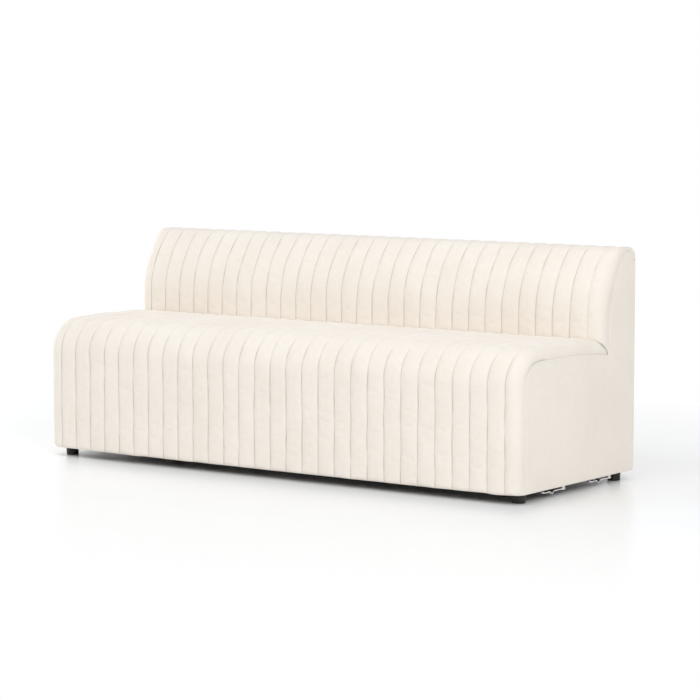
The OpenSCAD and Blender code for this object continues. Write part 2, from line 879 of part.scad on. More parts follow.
module hook_plate_rear() {
    hook_plate(link_ys[1]);
}

module catch_plate(y) {
    steel_plate(plate_side_gap - panel_x, catch_x + catch_end_gap, y, catch_x, rivet_d);
}

module catch_plate_front() {
    catch_plate(link_ys[0]);
}

module catch_plate_rear() {
    catch_plate(link_ys[1]);
}

// Blocks glued against the left rail, over the inner ends of the catch plates
module catch_blocks() {
    color(timber_color) placed() difference() {
        for (y = link_ys)
            block([rail_w - panel_x, y - link_block_len / 2, base_z],
                [rail_w - panel_x + link_block_w, y + link_block_len / 2, base_top]);
        plate_screw_holes();
    }
}

module hook_spacers() {
    color(steel_color) placed() for (y = link_ys) translate([hook_x, y, plate_z - spacer_h])
        difference() {
            cylinder(d = spacer_d, h = spacer_h);
            translate([0, 0, -1]) cylinder(d = rivet_d + 2 * hole_gap, h = spacer_h + 2);
        }
}

module hook_rivets() {
    head_z = arm_z - swing_gap - rivet_head_h;
    color(steel_color) placed() for (y = link_ys) translate([hook_x, y, head_z]) {
        cylinder(d = rivet_head_d, h = rivet_head_h);
        cylinder(d = rivet_d, h = foot_h - head_z);
    }
}

// Studs with a wide neck under the catch plates, riveted through them
module catch_studs() {
    color(steel_color) placed() for (y = link_ys) translate([catch_x, y, plate_z - catch_l]) {
        cylinder(d = catch_d, h = catch_l);
        cylinder(d = rivet_d, h = catch_l + plate_t);
    }
}

// Steel strip that lies forward along the rail: pivot, finger bend and eye
module hook_arm(y) {
    a = -bend_start;
    b = -bend_start - bend_l;
    low = arm_z - bend_depth;
    ring_d = eye_d + 2 * eye_ring;
    strip = [
        [0, arm_top], [0, arm_z], [a, arm_z], [(a + b) / 2, low], [b, arm_z], [-arm_l, arm_z],
        [-arm_l, arm_top], [b, arm_top], [(a + b) / 2, low + arm_t], [a, arm_top]
    ];
    color(steel_color) placed() translate([hook_x, y, 0]) difference() {
        union() {
            profile_solid(strip, -arm_w / 2, arm_w / 2);
            translate([0, 0, arm_z]) cylinder(d = arm_w, h = arm_t);
            translate([0, -arm_l, arm_z]) cylinder(d = ring_d, h = arm_t);
        }
        translate([0, 0, arm_z - 1]) cylinder(d = rivet_d + 2 * hole_gap, h = arm_t + 2);
        translate([0, -arm_l, arm_z - 1]) cylinder(d = eye_d, h = arm_t + 2);
    }
}

module hook_arm_front() {
    hook_arm(link_ys[0]);
}

module hook_arm_rear() {
    hook_arm(link_ys[1]);
}

base_front_rail();
base_rear_rail();
base_left_rail();
base_right_rail();
base_cross_rail_left();
base_cross_rail_right();
corner_block_front_left();
corner_block_front_right();
corner_block_rear_left();
corner_block_rear_right();
front_board();
left_end_panel();
right_end_panel();
left_rib();
right_rib();
seat_front_rail();
seat_rear_rail();
seat_springs();
spring_clips();
deck_felt();
seat_foam();
seat_cover();
back_post_left();
back_post_mid_left();
back_post_mid_right();
back_post_right();
back_top_rail();
back_lower_rail();
back_webbing();
back_foam();
back_cover();
rear_board();
rear_cover();
left_side_cover();
right_side_cover();
dust_cover();
foot_front_left();
foot_front_right();
foot_rear_left();
foot_rear_right();
foot_studs();
foot_insert_nuts();
panel_screws();
hook_plate_front();
hook_plate_rear();
hook_spacers();
hook_rivets();
hook_arm_front();
hook_arm_rear();
catch_plate_front();
catch_plate_rear();
catch_studs();
catch_blocks();
plate_screws();
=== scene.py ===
"""Dressing and studio for a channel-tufted dining bench.

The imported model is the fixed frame. The covers are worked out in millimetres, with depths
measured back from the plane of the front seams, and become metres in the row frame when a mesh
is made.
"""

from __future__ import annotations

import logging
import math
from dataclasses import dataclass, field
from enum import Enum
from typing import Callable, Iterable, Iterator, NamedTuple, Sequence

import bmesh
import bpy
import numpy as np
from bpy.types import Material, Node, NodeSocket, Object, World
from mathutils import Matrix, Vector
from mathutils.geometry import delaunay_2d_cdt


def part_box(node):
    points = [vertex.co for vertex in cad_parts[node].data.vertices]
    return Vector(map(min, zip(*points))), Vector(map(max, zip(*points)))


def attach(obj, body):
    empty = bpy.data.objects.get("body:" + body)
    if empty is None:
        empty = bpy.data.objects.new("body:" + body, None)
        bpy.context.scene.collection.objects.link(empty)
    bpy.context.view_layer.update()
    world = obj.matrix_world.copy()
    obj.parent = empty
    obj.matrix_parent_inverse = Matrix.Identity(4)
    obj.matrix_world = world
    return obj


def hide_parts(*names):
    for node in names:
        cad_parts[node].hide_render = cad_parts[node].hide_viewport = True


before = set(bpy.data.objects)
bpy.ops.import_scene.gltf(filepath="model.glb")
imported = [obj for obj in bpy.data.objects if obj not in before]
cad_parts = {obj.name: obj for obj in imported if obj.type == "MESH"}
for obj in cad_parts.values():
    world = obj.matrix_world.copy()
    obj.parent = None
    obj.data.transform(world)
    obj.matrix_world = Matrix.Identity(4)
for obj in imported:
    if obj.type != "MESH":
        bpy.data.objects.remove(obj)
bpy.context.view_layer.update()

LOG = logging.getLogger("bench")
MM = 0.001
BODY = "bench"
SQUARE = 0.999
TINY = 1e-6
STUD_HOLE_R = 7.0
SCREW_HOLE_R = 2.6
PLATE_EDGE = 8.0
Array = np.ndarray
Amount = float | Array
Pair = tuple[float, float]
Triple = tuple[float, float, float]
Lift = Callable[[Array, Array], Array]


class Side(Enum):
    """The two ends of the bench, as the sign of X."""

    LEFT = -1
    RIGHT = 1


class Zone(Enum):
    """Where a line of an end channel lies: before the corner, round it or past it."""

    FLAT = 0
    TURN = 1
    FALL = 2


class Slot(Enum):
    """Material slots of the record."""

    COVER = "cover_fabric"
    DUST = "dust_fabric"
    ELASTIC = "web_elastic"
    FELT = "felt"
    FOAM = "foam"
    SOFTWOOD = "softwood"
    PLYWOOD = "plywood"
    BOARD = "fibreboard"
    FOOT = "foot_plastic"
    BRIGHT = "bright_steel"
    SPRING = "spring_steel"
    FASTENER = "fastener_steel"


# Sizes and profiles


@dataclass(frozen=True)
class BenchSizes:
    """Main sizes of the bench in millimetres.

    They are those of the part's source, but for the rolls of the end channels, which the padding
    makes wider than edge_r, and the crease between seat and back, which cloth fills.
    """

    width: float = 1930.0
    depth: float = 720.0
    height: float = 770.0
    foot_h: float = 33.0
    channels: int = 30
    proud: float = 5.0
    end_crown: float = 0.6
    quilt_t: float = 20.0
    top_quilt_t: float = 10.0
    edge_r: float = 30.0
    seat_end_r: float = 36.0
    back_side_r: float = 44.0
    tuck: float = 8.0
    crown_h: float = 480.0
    seat_fall: float = 5.0
    crown_to_back: float = 198.0
    nose_r: float = 112.0
    back_t: float = 227.0
    back_curve_h: float = 225.0
    face_r: float = 285.0
    top_r: float = 60.0
    rear_r: float = 40.0
    back_end_r: float = 10.0
    side_wrap: float = 40.0
    side_top_wrap: float = 38.0
    side_seam_r: float = 69.0
    side_seam_fall: float = 15.0
    crease_wrap: float = 57.0
    back_seam_r: float = 420.0
    back_seam_drop: float = 280.0
    rear_wrap: float = 12.0
    rear_end_wrap: float = 19.0
    side_pad_t: float = 10.0
    rear_pad_t: float = 8.0
    skirt_drop: float = 3.0
    crease_gap: float = 1.2
    back_tuck: float = 4.5
    crease_rise: float = 18.0
    seam_gap: float = 0.4
    stitch_inset: float = 9.0

    @property
    def front_y(self) -> float:
        """Row Y of the plane of the front seams."""
        return self.proud - self.depth / 2

    @property
    def side_x(self) -> float:
        """Distance of the side seams from the middle."""
        return self.width / 2 - self.end_crown * self.proud

    @property
    def panel_x(self) -> float:
        """Distance of the side covers' inner faces from the middle."""
        return self.side_x - self.side_pad_t

    @property
    def back_y(self) -> float:
        """Depth of the rear cover's face."""
        return self.depth - self.proud

    @property
    def seat_d(self) -> float:
        """Depth of the back's face at the seat."""
        return self.back_y - self.back_t

    @property
    def top_z(self) -> float:
        """Height of the seams on top of the back."""
        return self.height - self.proud

    @property
    def skirt_z(self) -> float:
        """Height of the covers' lower edge."""
        return self.foot_h - self.skirt_drop

    @property
    def pitch(self) -> float:
        """Distance between two channel seams."""
        return (2 * self.side_x + (math.pi - 2) * self.edge_r) / self.channels

    @property
    def last_seam(self) -> float:
        """Distance of the last channel seam from the middle."""
        return (self.channels - 2) / 2 * self.pitch


SIZES = BenchSizes()


def mix(a: Amount, b: Amount, t: Amount) -> Amount:
    """Value at share t of the way from a to b."""
    return a + (b - a) * t


def ease(value: float, low: float, high: float) -> float:
    """Smooth step from 0 at low to 1 at high."""
    t = min(1.0, max(0.0, (value - low) / (high - low)))
    return t * t * (3 - 2 * t)


def hump(distance: Amount, width: float) -> Amount:
    """Bell curve of that half width, 1 at no distance."""
    return np.exp(-((distance / width) ** 2))


def to_row(points: Array) -> Array:
    """Bench millimetres, depth from the front seams, as metres in the row frame."""
    return (np.asarray(points, float) + np.array([0, SIZES.front_y, 0])) * MM


def arc_points(centre: Pair, radius: float, start: float, end: float, count: int) -> Array:
    """Points of an arc in a plane, with its angles in degrees from the first axis."""
    t = np.radians(np.linspace(start, end, count))
    return np.column_stack([centre[0] + radius * np.cos(t), centre[1] + radius * np.sin(t)])


def circle(centre: Pair, radius: float, count: int) -> Array:
    """Even points of a whole circle in a plane."""
    return arc_points(centre, radius, 0, 360 - 360 / count, count)


def run_along(points: Array) -> Array:
    """Distance of each point of a line from its start, along the line."""
    steps = np.linalg.norm(np.diff(points, axis=0), axis=1)
    return np.concatenate([[0], np.cumsum(steps)])


class Station(NamedTuple):
    """One cut through a quilted cover, square to its profile, as [depth, height] points.

    crown is the share of a channel's height, and sewn is how hard its seams are drawn in.
    """

    seam: Array
    inwards: Array
    end_r: float
    crown: float
    lining: Array
    side: Array
    sewn: float = 1.0


@dataclass(frozen=True)
class Profiles:
    """The curves that the covers follow, in millimetres and degrees.

    The fields with ease say where the seams or the crown ease off: by the angle round the nose,
    and by the share of the way over the back's top and rear edge. crease_share is how far towards
    the side seam both covers turn at the crease, end_mix is the share of the way from the back's
    side radius to its end radius at the start of the top, and rear_turn is the angle, in radians,
    whose cosine the crown falls to at the rear.
    """

    s: BenchSizes = SIZES
    row_step: float = 5.0
    edge_step: float = 12.0
    hem: float = 14.0
    hem_rows: int = 5
    hem_fade: float = 0.7
    top_sewn: float = 0.24
    top_crown: float = 0.6
    seam_ease: Pair = (22.0, 70.0)
    top_ease: Pair = (0.0, 0.8)
    rear_ease: Pair = (0.4, 1.0)
    rear_turn: float = 1.1
    crease_rows: int = 4
    crease_step: Pair = (0.6, 0.5)
    crease_share: Pair = (0.66, 0.6)
    crease_play: float = 0.3
    end_mix: float = 0.4
    seam_dip: float = 2.0
    rear_end_r: float = 7.0
    rear_sewn: float = 0.6
    lower_corner_r: float = 11.0
    corner_points: int = 7
    stitch_stop: float = 30.0

    @staticmethod
    def bow(c: Sequence[float], r: float, a: float) -> Array:
        """Point on an arc round c whose angles, in degrees, start at the front and rise."""
        t = math.radians(a)
        return np.array([c[0] - r * math.cos(t), c[1] + r * math.sin(t)])

    @staticmethod
    def inward(a: float) -> Array:
        """Direction from an arc's point to its centre."""
        t = math.radians(a)
        return np.array([math.cos(t), -math.sin(t)])

    @property
    def crown_y(self) -> float:
        """Depth of the seat's highest point."""
        return self.s.seat_d - self.s.crown_to_back

    @property
    def crown_r(self) -> float:
        """Radius of the seat's shallow crown."""
        return (self.s.crown_to_back**2 + self.s.seat_fall**2) / (2 * self.s.seat_fall)

    @property
    def crown_c(self) -> Array:
        """Centre of the seat's shallow crown."""
        return np.array([self.crown_y, self.s.crown_h - self.crown_r])

    @property
    def nose(self) -> tuple[Array, float]:
        """The arc of the nose.

        Returns:
            Its centre, and the angle at which it meets the crown.
        """
        reach = self.crown_y - self.s.nose_r
        rise = math.sqrt((self.crown_r - self.s.nose_r) ** 2 - reach**2)
        centre = np.array([self.s.nose_r, self.crown_c[1] + rise])
        return centre, math.degrees(math.atan2(rise, reach))

    def on_crown(self, y: float) -> Array:
        """Point on the seat's crown at a depth."""
        rise = math.sqrt(self.crown_r**2 - (y - self.crown_y) ** 2)
        return np.array([y, self.crown_c[1] + rise])

    @property
    def side_top(self) -> float:
        """Height of the side seam under the seat's crown."""
        return self.s.crown_h - self.s.side_top_wrap

    @property
    def side_nose(self) -> Array:
        """Centre of the side seam's arc round the seat's front edge."""
        return np.array([self.s.side_wrap, self.side_top]) + [self.s.side_seam_r, -self.s.side_seam_r]

    @property
    def crease(self) -> Array:
        """Point where the side seam turns from the seat to the back."""
        depth = self.s.seat_d + self.s.crease_wrap - self.crease_step[0]
        return np.array([depth, self.side_top - self.s.side_seam_fall])

    @property
    def crease_turn(self) -> Array:
        """Point of the crease where both covers have turned onto the bench's side."""
        return mix(self.on_crown(self.s.seat_d), self.crease, np.array(self.crease_share))

    @property
    def nose_end(self) -> Array:
        """Point where the nose runs into the crown."""
        centre, end = self.nose
        return self.bow(centre, self.s.nose_r, end)

    @property
    def back_bottom(self) -> float:
        """Height at which the back's cover goes down behind the seat."""
        return self.on_crown(self.s.seat_d - self.s.crease_gap)[1] - self.s.back_tuck

    @property
    def face_arc(self) -> tuple[Array, Array, float]:
        """The arcs of the back's face and top edge.

        Returns:
            The centre of each, and the angle at which they meet.
        """
        s = self.s
        face = np.array([s.seat_d + s.face_r, s.top_z - s.back_curve_h])
        rise = s.back_curve_h - s.top_r
        top = np.array([face[0] - math.sqrt((s.face_r - s.top_r) ** 2 - rise**2), s.top_z - s.top_r])
        return face, top, math.degrees(math.atan2(rise, face[0] - top[0]))

    def beside_top(self, y: float) -> Array:
        """Point on the side seam beside the seat's top, level as far as the crown.

        Args:
            y: Depth.

        Returns:
            The point as depth and height.
        """
        if y < self.crown_y:
            t = (y - self.nose_end[0]) / (self.crown_y - self.nose_end[0])
            return np.array([mix(self.side_nose[0], self.crown_y, t), self.side_top])
        share = (y - self.crown_y) / (self.crease[0] - self.crown_y)
        return np.array([y, self.side_top - self.s.side_seam_fall * share**2])

    def beside_back(self, z: float) -> Array:
        """Point on the side seam up the back, straight and then on an arc.

        Args:
            z: Height.

        Returns:
            The point as depth and height.
        """
        y, r = self.s.seat_d + self.s.crease_wrap, self.s.back_seam_r
        rise = max(0.0, z - self.s.top_z + self.s.back_seam_drop)
        return np.array([y + r - math.sqrt(r**2 - rise**2), z])

    def steps(self, length: float) -> Array:
        """Shares from 0 up to, but without, 1 along a stretch of that length."""
        return np.linspace(0, 1, max(2, round(length / self.row_step) + 1))[:-1]

    def cut(
        self,
        p: Array,
        d: Array,
        r: float,
        side: Array,
        crown: float = 1.0,
        sewn: float = 1.0,
        lining: Array | None = None,
    ) -> Station:
        """A station, whose lining lies a quilt's thickness inwards unless it is given."""
        inner = p + self.s.quilt_t * d if lining is None else lining
        return Station(p, d, r, crown, inner, side, sewn)

    def seat(self) -> list[Station]:
        """Stations of the seat's cover, from its lower front edge to the back."""
        return [*self.seat_hem(), *self.seat_front(), *self.seat_top(), *self.seat_end()]

    def seat_hem(self) -> Iterator[Station]:
        """Cuts the seat's cover where it turns under at its lower edge.

        Yields:
            The stations, upwards.
        """
        s = self.s
        for t in np.linspace(0, math.pi / 2, self.hem_rows, endpoint=False):
            z = s.skirt_z + self.hem * (1 - math.cos(t))
            p, lining = np.array([s.tuck * (1 - math.sin(t)), z]), np.array([s.quilt_t, z])
            crown, side = math.sin(t) ** self.hem_fade, np.array([s.side_wrap, z])
            yield self.cut(p, self.inward(0), s.seat_end_r, side, crown, 1.0, lining)

    def seat_front(self) -> Iterator[Station]:
        """Cuts the seat's cover up the front and round the nose, where the seams ease off.

        Yields:
            The stations, upwards.
        """
        s, low = self.s, self.s.skirt_z + self.hem
        centre, end = self.nose
        for t in self.steps(centre[1] - low):
            side = np.array([s.side_wrap, mix(low, self.side_nose[1], t)])
            yield self.cut(np.array([0, mix(low, centre[1], t)]), self.inward(0), s.seat_end_r, side)
        for t in self.steps(math.radians(end) * s.nose_r):
            sewn = mix(1, self.top_sewn, ease(end * t, *self.seam_ease))
            p, side = self.bow(centre, s.nose_r, end * t), self.bow(self.side_nose, s.side_seam_r, 90 * t)
            yield self.cut(p, self.inward(end * t), s.seat_end_r, side, sewn=sewn)

    def seat_top(self) -> Iterator[Station]:
        """Cuts the seat's cover over its shallow crown.

        Yields:
            The stations, backwards.
        """
        start, end = self.nose_end[0], self.s.seat_d - self.s.crease_rise
        for t in self.steps(end - start):
            p = self.on_crown(mix(start, end, t))
            d, side = (self.crown_c - p) / self.crown_r, self.beside_top(p[0])
            yield self.cut(p, d, self.s.seat_end_r, side, sewn=self.top_sewn)

    def seat_end(self) -> Iterator[Station]:
        """Cuts the seat's cover where it goes down in front of the back.

        Yields:
            The stations, backwards.
        """
        s, fade = self.s, self.s.seat_d - self.s.crease_rise
        level = (self.crown_c - self.on_crown(fade)) / self.crown_r
        for t in np.linspace(0, 1, self.crease_rows + 2):
            p = self.on_crown(mix(fade, s.seat_d - s.crease_gap, t))
            d = mix(level, (self.crease_turn - self.crease_play - p) / s.seat_end_r, t)
            lining = p + s.quilt_t * mix(level, self.inward(90), t)
            side, crown = mix(self.beside_top(fade), self.crease, t), math.sqrt(1 - t**4)
            yield self.cut(p, d, s.seat_end_r, side, crown, self.top_sewn, lining)

    def back(self) -> list[Station]:
        """Stations of the back's cover, from behind the seat to its upper rear edge."""
        return [*self.back_face(), *self.back_top(), *self.back_rear()]

    def back_face(self) -> Iterator[Station]:
        """Cuts the back's cover up its face, straight and then curved.

        Yields:
            The stations, upwards.
        """
        s, low, (face, _, end) = self.s, self.back_bottom, self.face_arc
        wall_z, straight, start = low + s.crease_rise, self.inward(0), self.crease + self.crease_step
        for t in np.linspace(0, 1, self.crease_rows, endpoint=False):
            p, side = np.array([s.seat_d, mix(low, wall_z, t)]), mix(start, self.beside_back(wall_z), t)
            turned = (self.crease_turn + self.crease_play - [s.seat_d, low]) / s.back_side_r
            crown, lining = math.sqrt(1 - (1 - t) ** 4), p + s.quilt_t * straight
            yield self.cut(p, mix(turned, straight, t), s.back_side_r, side, crown, 1.0, lining)
        for t in self.steps(face[1] - wall_z):
            p = np.array([s.seat_d, mix(wall_z, face[1], t)])
            yield self.cut(p, straight, s.back_side_r, self.beside_back(p[1]))
        for t in self.steps(math.radians(end) * s.face_r):
            p = self.bow(face, s.face_r, end * t)
            r = mix(s.back_side_r, s.back_end_r, max(0.0, 3 * t - 2) * self.end_mix)
            side = self.beside_back(min(p[1], s.top_z - s.rear_wrap - self.seam_dip))
            yield self.cut(p, self.inward(end * t), r, side)

    def back_top(self) -> Iterator[Station]:
        """Cuts the back's cover over its rounded top.

        Yields:
            The stations, backwards.
        """
        s, seam_top, (_, centre, start) = self.s, self.s.top_z - self.s.rear_wrap, self.face_arc
        seam_y, rear_y = self.beside_back(seam_top)[0], s.back_y - s.rear_r
        for t in self.steps(math.radians(90 - start) * s.top_r):
            a = mix(start, 90, t)
            p, d = self.bow(centre, s.top_r, a), self.inward(a)
            r = mix(s.back_side_r, s.back_end_r, mix(self.end_mix, 1, t))
            side = np.array([mix(seam_y, rear_y, t * 2 / 3), seam_top - self.seam_dip * (1 - t)])
            lining = p + mix(s.quilt_t, s.top_quilt_t, min(1, 2 * t)) * d
            crown, sewn = mix(1, self.top_crown, t), mix(1, self.top_sewn, ease(t, *self.top_ease))
            yield self.cut(p, d, r, side, crown, sewn, lining)
        for t in self.steps(rear_y - centre[0]):
            p, d = np.array([mix(centre[0], rear_y, t), s.top_z]), np.array([0.0, -1.0])
            side, lining = np.array([mix(seam_y, rear_y, (2 + t) / 3), seam_top]), p + s.top_quilt_t * d
            yield self.cut(p, d, s.back_end_r, side, self.top_crown, self.top_sewn, lining)

    def back_rear(self) -> Iterator[Station]:
        """Cuts the back's cover round its upper rear edge.

        Yields:
            The stations, downwards.
        """
        s = self.s
        for t in [*self.steps(math.pi / 2 * s.rear_r), 1.0]:
            d = self.inward(90 + 90 * t)
            p = self.bow((s.back_y - s.rear_r, s.top_z - s.rear_r), s.rear_r, 90 + 90 * t)
            side, lining = p + mix(s.rear_wrap, s.rear_end_wrap, t * t) * d, p + s.top_quilt_t * d
            crown = self.top_crown * math.cos(ease(t, *self.rear_ease) * self.rear_turn)
            r = mix(s.back_end_r, self.rear_end_r, t)
            yield self.cut(p, d, r, side, crown, self.rear_sewn, lining)

    def line(self, a: Pair, b: Pair) -> Array:
        """Even points from a to b, without b."""
        count = max(2, round(math.dist(a, b) / self.edge_step))
        return np.array(a) + np.linspace(0, 1, count, endpoint=False)[:, None] * (np.array(b) - a)

    def loop(self, a: Pair, b: Pair) -> Array:
        """Even points round the rectangle that has those opposite corners, from the first one."""
        corners = [a, (b[0], a[1]), b, (a[0], b[1])]
        return np.concatenate([self.line(p, q) for p, q in zip(corners, corners[1:] + corners[:1])])

    def side_outline(self) -> Array:
        """Outline of a side cover, clear of the side seams, from its lower front corner.

        Returns:
            Points as depth and height.
        """
        s, gap, r = self.s, self.s.seam_gap, self.lower_corner_r
        crease_y = s.seat_d - s.crease_rise - 1
        seat = [st.side + gap * st.inwards for st in self.seat() if st.seam[0] < crease_y]
        turn = [self.crease - [0, gap], self.crease + [self.crease_step[0] + gap, self.crease_step[1]]]
        back = self.back()
        up = [st.side + gap * st.inwards for st in back[self.crease_rows : -1]]
        corner = arc_points((s.back_y - r, s.skirt_z + r), r, 0, -90, self.corner_points)
        rear = self.line((s.back_y, s.top_z - s.rear_r - gap), tuple(corner[0]))
        low = self.line(tuple(corner[-1]), (s.side_wrap + gap, s.skirt_z))
        parts = [seat, turn, up, [back[-1].side - [0, gap]], rear, corner[:-1], low]
        points = np.concatenate([np.array(p) for p in parts])
        ends = np.roll(points, -1, axis=0)
        far = np.linalg.norm(ends - points, axis=1) > self.edge_step
        return np.concatenate([self.line(a, b) if f else [a] for a, b, f in zip(points, ends, far)])

    def side_stitch(self) -> Array:
        """Line of the top stitching on a side cover.

        Returns:
            Points as depth and height, up the front, over the seat and up the back.
        """
        inset, stop = self.s.stitch_inset, self.s.seat_d - self.stitch_stop
        seat = [st.side + inset * st.inwards for st in self.seat() if st.seam[0] < stop]
        back = list(self.back_face())[self.crease_rows + 2 :]
        rising = [st.side + inset * st.inwards for st in back]
        return np.array([*seat, self.crease + [inset, -inset], *rising])

    def rear_outline(self) -> Array:
        """Outline of the rear cover as [across, height] points."""
        x, high = self.s.panel_x - self.s.seam_gap, self.s.top_z - self.s.rear_r - self.s.seam_gap
        return self.loop((-x, high), (x, self.s.skirt_z))


# Finishes


def linear(code: str) -> Triple:
    """Scene-linear colour of an sRGB hex code."""
    parts = (int(code[i : i + 2], 16) / 255 for i in (1, 3, 5))
    return tuple(c / 12.92 if c <= 0.04045 else ((c + 0.055) / 1.055) ** 2.4 for c in parts)


class Wires:
    """The node tree of a material or a world, with short calls to add and join nodes."""

    def __init__(self, owner: Material | World) -> None:
        """Clears the owner's tree and adds its output.

        Args:
            owner: The new material or world.
        """
        owner.use_nodes = True
        self.owner, self.tree = owner, owner.node_tree
        self.tree.nodes.clear()
        self.out = self.add("OutputWorld" if isinstance(owner, World) else "OutputMaterial")

    def add(self, kind: str, inputs: dict | None = None, **settings: object) -> Node:
        """Adds a node.

        Args:
            kind: The node's type without its ShaderNode prefix.
            inputs: Values, or sockets to join from, by input name or number.
            **settings: Attributes of the node.

        Returns:
            The node.
        """
        node = self.tree.nodes.new("ShaderNode" + kind)
        for name, value in settings.items():
            setattr(node, name, value)
        for name, value in (inputs or {}).items():
            if isinstance(value, NodeSocket):
                self.tree.links.new(value, node.inputs[name])
            else:
                node.inputs[name].default_value = value
        return node

    def end(self, kind: str, inputs: dict) -> Material | World:
        """Joins a last node to the output, and gives back what the tree belongs to."""
        self.tree.links.new(self.add(kind, inputs).outputs[0], self.out.inputs[0])
        return self.owner

    def coords(self) -> NodeSocket:
        """Object coordinates."""
        return self.add("TexCoord").outputs["Object"]

    def stretched(self, scale: Triple) -> NodeSocket:
        """Object coordinates multiplied by a scale."""
        return self.add("Mapping", {"Vector": self.coords(), "Scale": scale}).outputs[0]

    def noise(
        self, scale: float, detail: float = 3, where: NodeSocket | None = None, rough: float = 0.5
    ) -> NodeSocket:
        """A noise pattern's value, at Object coordinates unless others are given."""
        inputs = {"Vector": where or self.coords(), "Scale": scale, "Detail": detail, "Roughness": rough}
        return self.add("TexNoise", inputs).outputs["Fac"]

    def fibres(self, scale: Triple, detail: float = 4, rough: float = 0.6) -> NodeSocket:
        """A noise pattern's value, with a scale for each axis."""
        return self.noise(1, detail, self.stretched(scale), rough)

    def wave(self, inputs: dict, direction: str) -> NodeSocket:
        """A wave pattern's value, in bands across a direction."""
        return self.add("TexWave", inputs, bands_direction=direction).outputs["Fac"]

    def maths(self, kind: str, a: object, b: object = 0.0, c: object = 0.0) -> NodeSocket:
        """Joins two or three values by a Math node."""
        return self.add("Math", {0: a, 1: b, 2: c}, operation=kind).outputs[0]

    def span(self, value: NodeSocket, low: float, high: float, to: Pair = (0, 1)) -> NodeSocket:
        """Maps a value's range from low..high to another, and clamps it."""
        inputs = {"Value": value, "From Min": low, "From Max": high, "To Min": to[0], "To Max": to[1]}
        return self.add("MapRange", inputs).outputs[0]

    def spread(self, pattern: NodeSocket, low: float, high: float) -> NodeSocket:
        """Stretches a noise pattern's usual values to low..high."""
        return self.span(pattern, 0.3, 0.7, (low, high))

    def blend(self, share: object, a: object, b: object, kind: str = "MIX") -> NodeSocket:
        """Mixes two colours, each a socket or red, green and blue, by the share of the second."""
        colours = {i: v if isinstance(v, NodeSocket) else (*v, 1) for i, v in ((6, a), (7, b))}
        return self.add("Mix", {0: share, **colours}, data_type="RGBA", blend_type=kind).outputs[2]

    def bump(self, height: NodeSocket, distance: float, **on: NodeSocket) -> NodeSocket:
        """A bump normal of that height in metres, over another Normal if given."""
        return self.add("Bump", {"Height": height, "Distance": distance, **on}).outputs[0]


@dataclass(frozen=True)
class Finish:
    """A finish that is made once, as one material."""

    name: str
    colour: str
    slot: Slot

    def surface(self, w: Wires) -> dict:
        """Wires the patterns and gives the surface's inputs by name."""
        raise NotImplementedError

    def material(self) -> Material:
        """The material, made at the first call.

        Returns:
            The material of that name.
        """
        if self.name in bpy.data.materials:
            return bpy.data.materials[self.name]
        w = Wires(bpy.data.materials.new(self.name))
        return w.end("BsdfPrincipled", self.surface(w))


@dataclass(frozen=True)
class PileFabric(Finish):
    """Short soft pile: mottled by the lie of its fibres, whitish at a glance, with painted shade in its
    seams.
    """

    shade: str = "#e6dccf"
    # The colour of the painted shade in the seams, and the share of it at a full crease.
    painted_seam_shade: str = "#b9ac9b"
    painted_shade_share: float = 0.6

    def surface(self, w: Wires) -> dict:
        """Wires a pile with painted shade, darkening by the mesh's crease attribute.

        Args:
            w: The tree.

        Returns:
            The surface's inputs.
        """
        base, shade, painted_seam_colour = linear(self.colour), linear(self.shade), linear(self.painted_seam_shade)
        clouds = w.span(w.noise(5.5), 0.32, 0.7, (0, 0.3))
        nap = w.span(w.fibres((52, 52, 34)), 0.35, 0.68, (0, 0.16))
        hairs = w.fibres((900, 900, 520), 3, 0.65)
        colour = w.blend(w.maths("ADD", clouds, nap), base, shade)
        colour = w.blend(w.spread(hairs, 0.0, 0.16), colour, shade)
        # The crease attribute carries the share of painted shade in the seams.
        crease = w.add("Attribute", attribute_name="crease").outputs["Fac"]
        soft = w.bump(w.fibres((60, 60, 40), 3, 0.55), 0.0007)
        return {
            "Base Color": w.blend(w.maths("MULTIPLY", crease, self.painted_shade_share), colour, painted_seam_colour),
            "Roughness": w.spread(hairs, 0.82, 0.95),
            "Specular IOR Level": 0.2,
            "Sheen Weight": 0.28,
            "Sheen Roughness": 0.5,
            "Sheen Tint": (0.98, 0.95, 1.0, 1),
            "Normal": w.bump(hairs, 0.00035, Normal=soft),
        }


@dataclass(frozen=True)
class Woven(Finish):
    """Thin woven or knitted cloth with a visible thread pattern."""

    threads: float = 700.0
    relief: float = 0.0003

    def surface(self, w: Wires) -> dict:
        """Wires two crossing waves.

        Args:
            w: The tree.

        Returns:
            The surface's inputs.
        """
        base = linear(self.colour)
        wave = {"Vector": w.coords(), "Scale": self.threads / (2 * math.pi), "Distortion": 0.4}
        weave = w.maths("MAXIMUM", w.wave(wave, "X"), w.wave(wave, "Y"))
        light = tuple(min(1.0, c * 1.6 + 0.01) for c in base)
        return {
            "Base Color": w.blend(w.maths("MULTIPLY", weave, w.noise(30)), base, light),
            "Roughness": w.spread(w.noise(60), 0.78, 0.95),
            "Specular IOR Level": 0.2,
            "Normal": w.bump(weave, self.relief),
        }


@dataclass(frozen=True)
class Matted(Finish):
    """Felt, foam or fibreboard: a matted body with cells or flecks."""

    flecks: str = "#ffffff"
    cells: float = 400.0
    relief: float = 0.0006

    def surface(self, w: Wires) -> dict:
        """Wires cells, flecks and soft clouds.

        Args:
            w: The tree.

        Returns:
            The surface's inputs.
        """
        base, cloud = linear(self.colour), w.noise(14, 5)
        cell = w.add("TexVoronoi", {"Vector": w.coords(), "Scale": self.cells}).outputs["Distance"]
        colour = w.blend(w.span(w.noise(220, 4), 0.45, 0.75), base, linear(self.flecks))
        return {
            "Base Color": w.blend(w.spread(cloud, 0, 0.35), colour, base, "MULTIPLY"),
            "Roughness": w.spread(cloud, 0.85, 0.98),
            "Specular IOR Level": 0.2,
            "Normal": w.bump(cell, self.relief),
        }


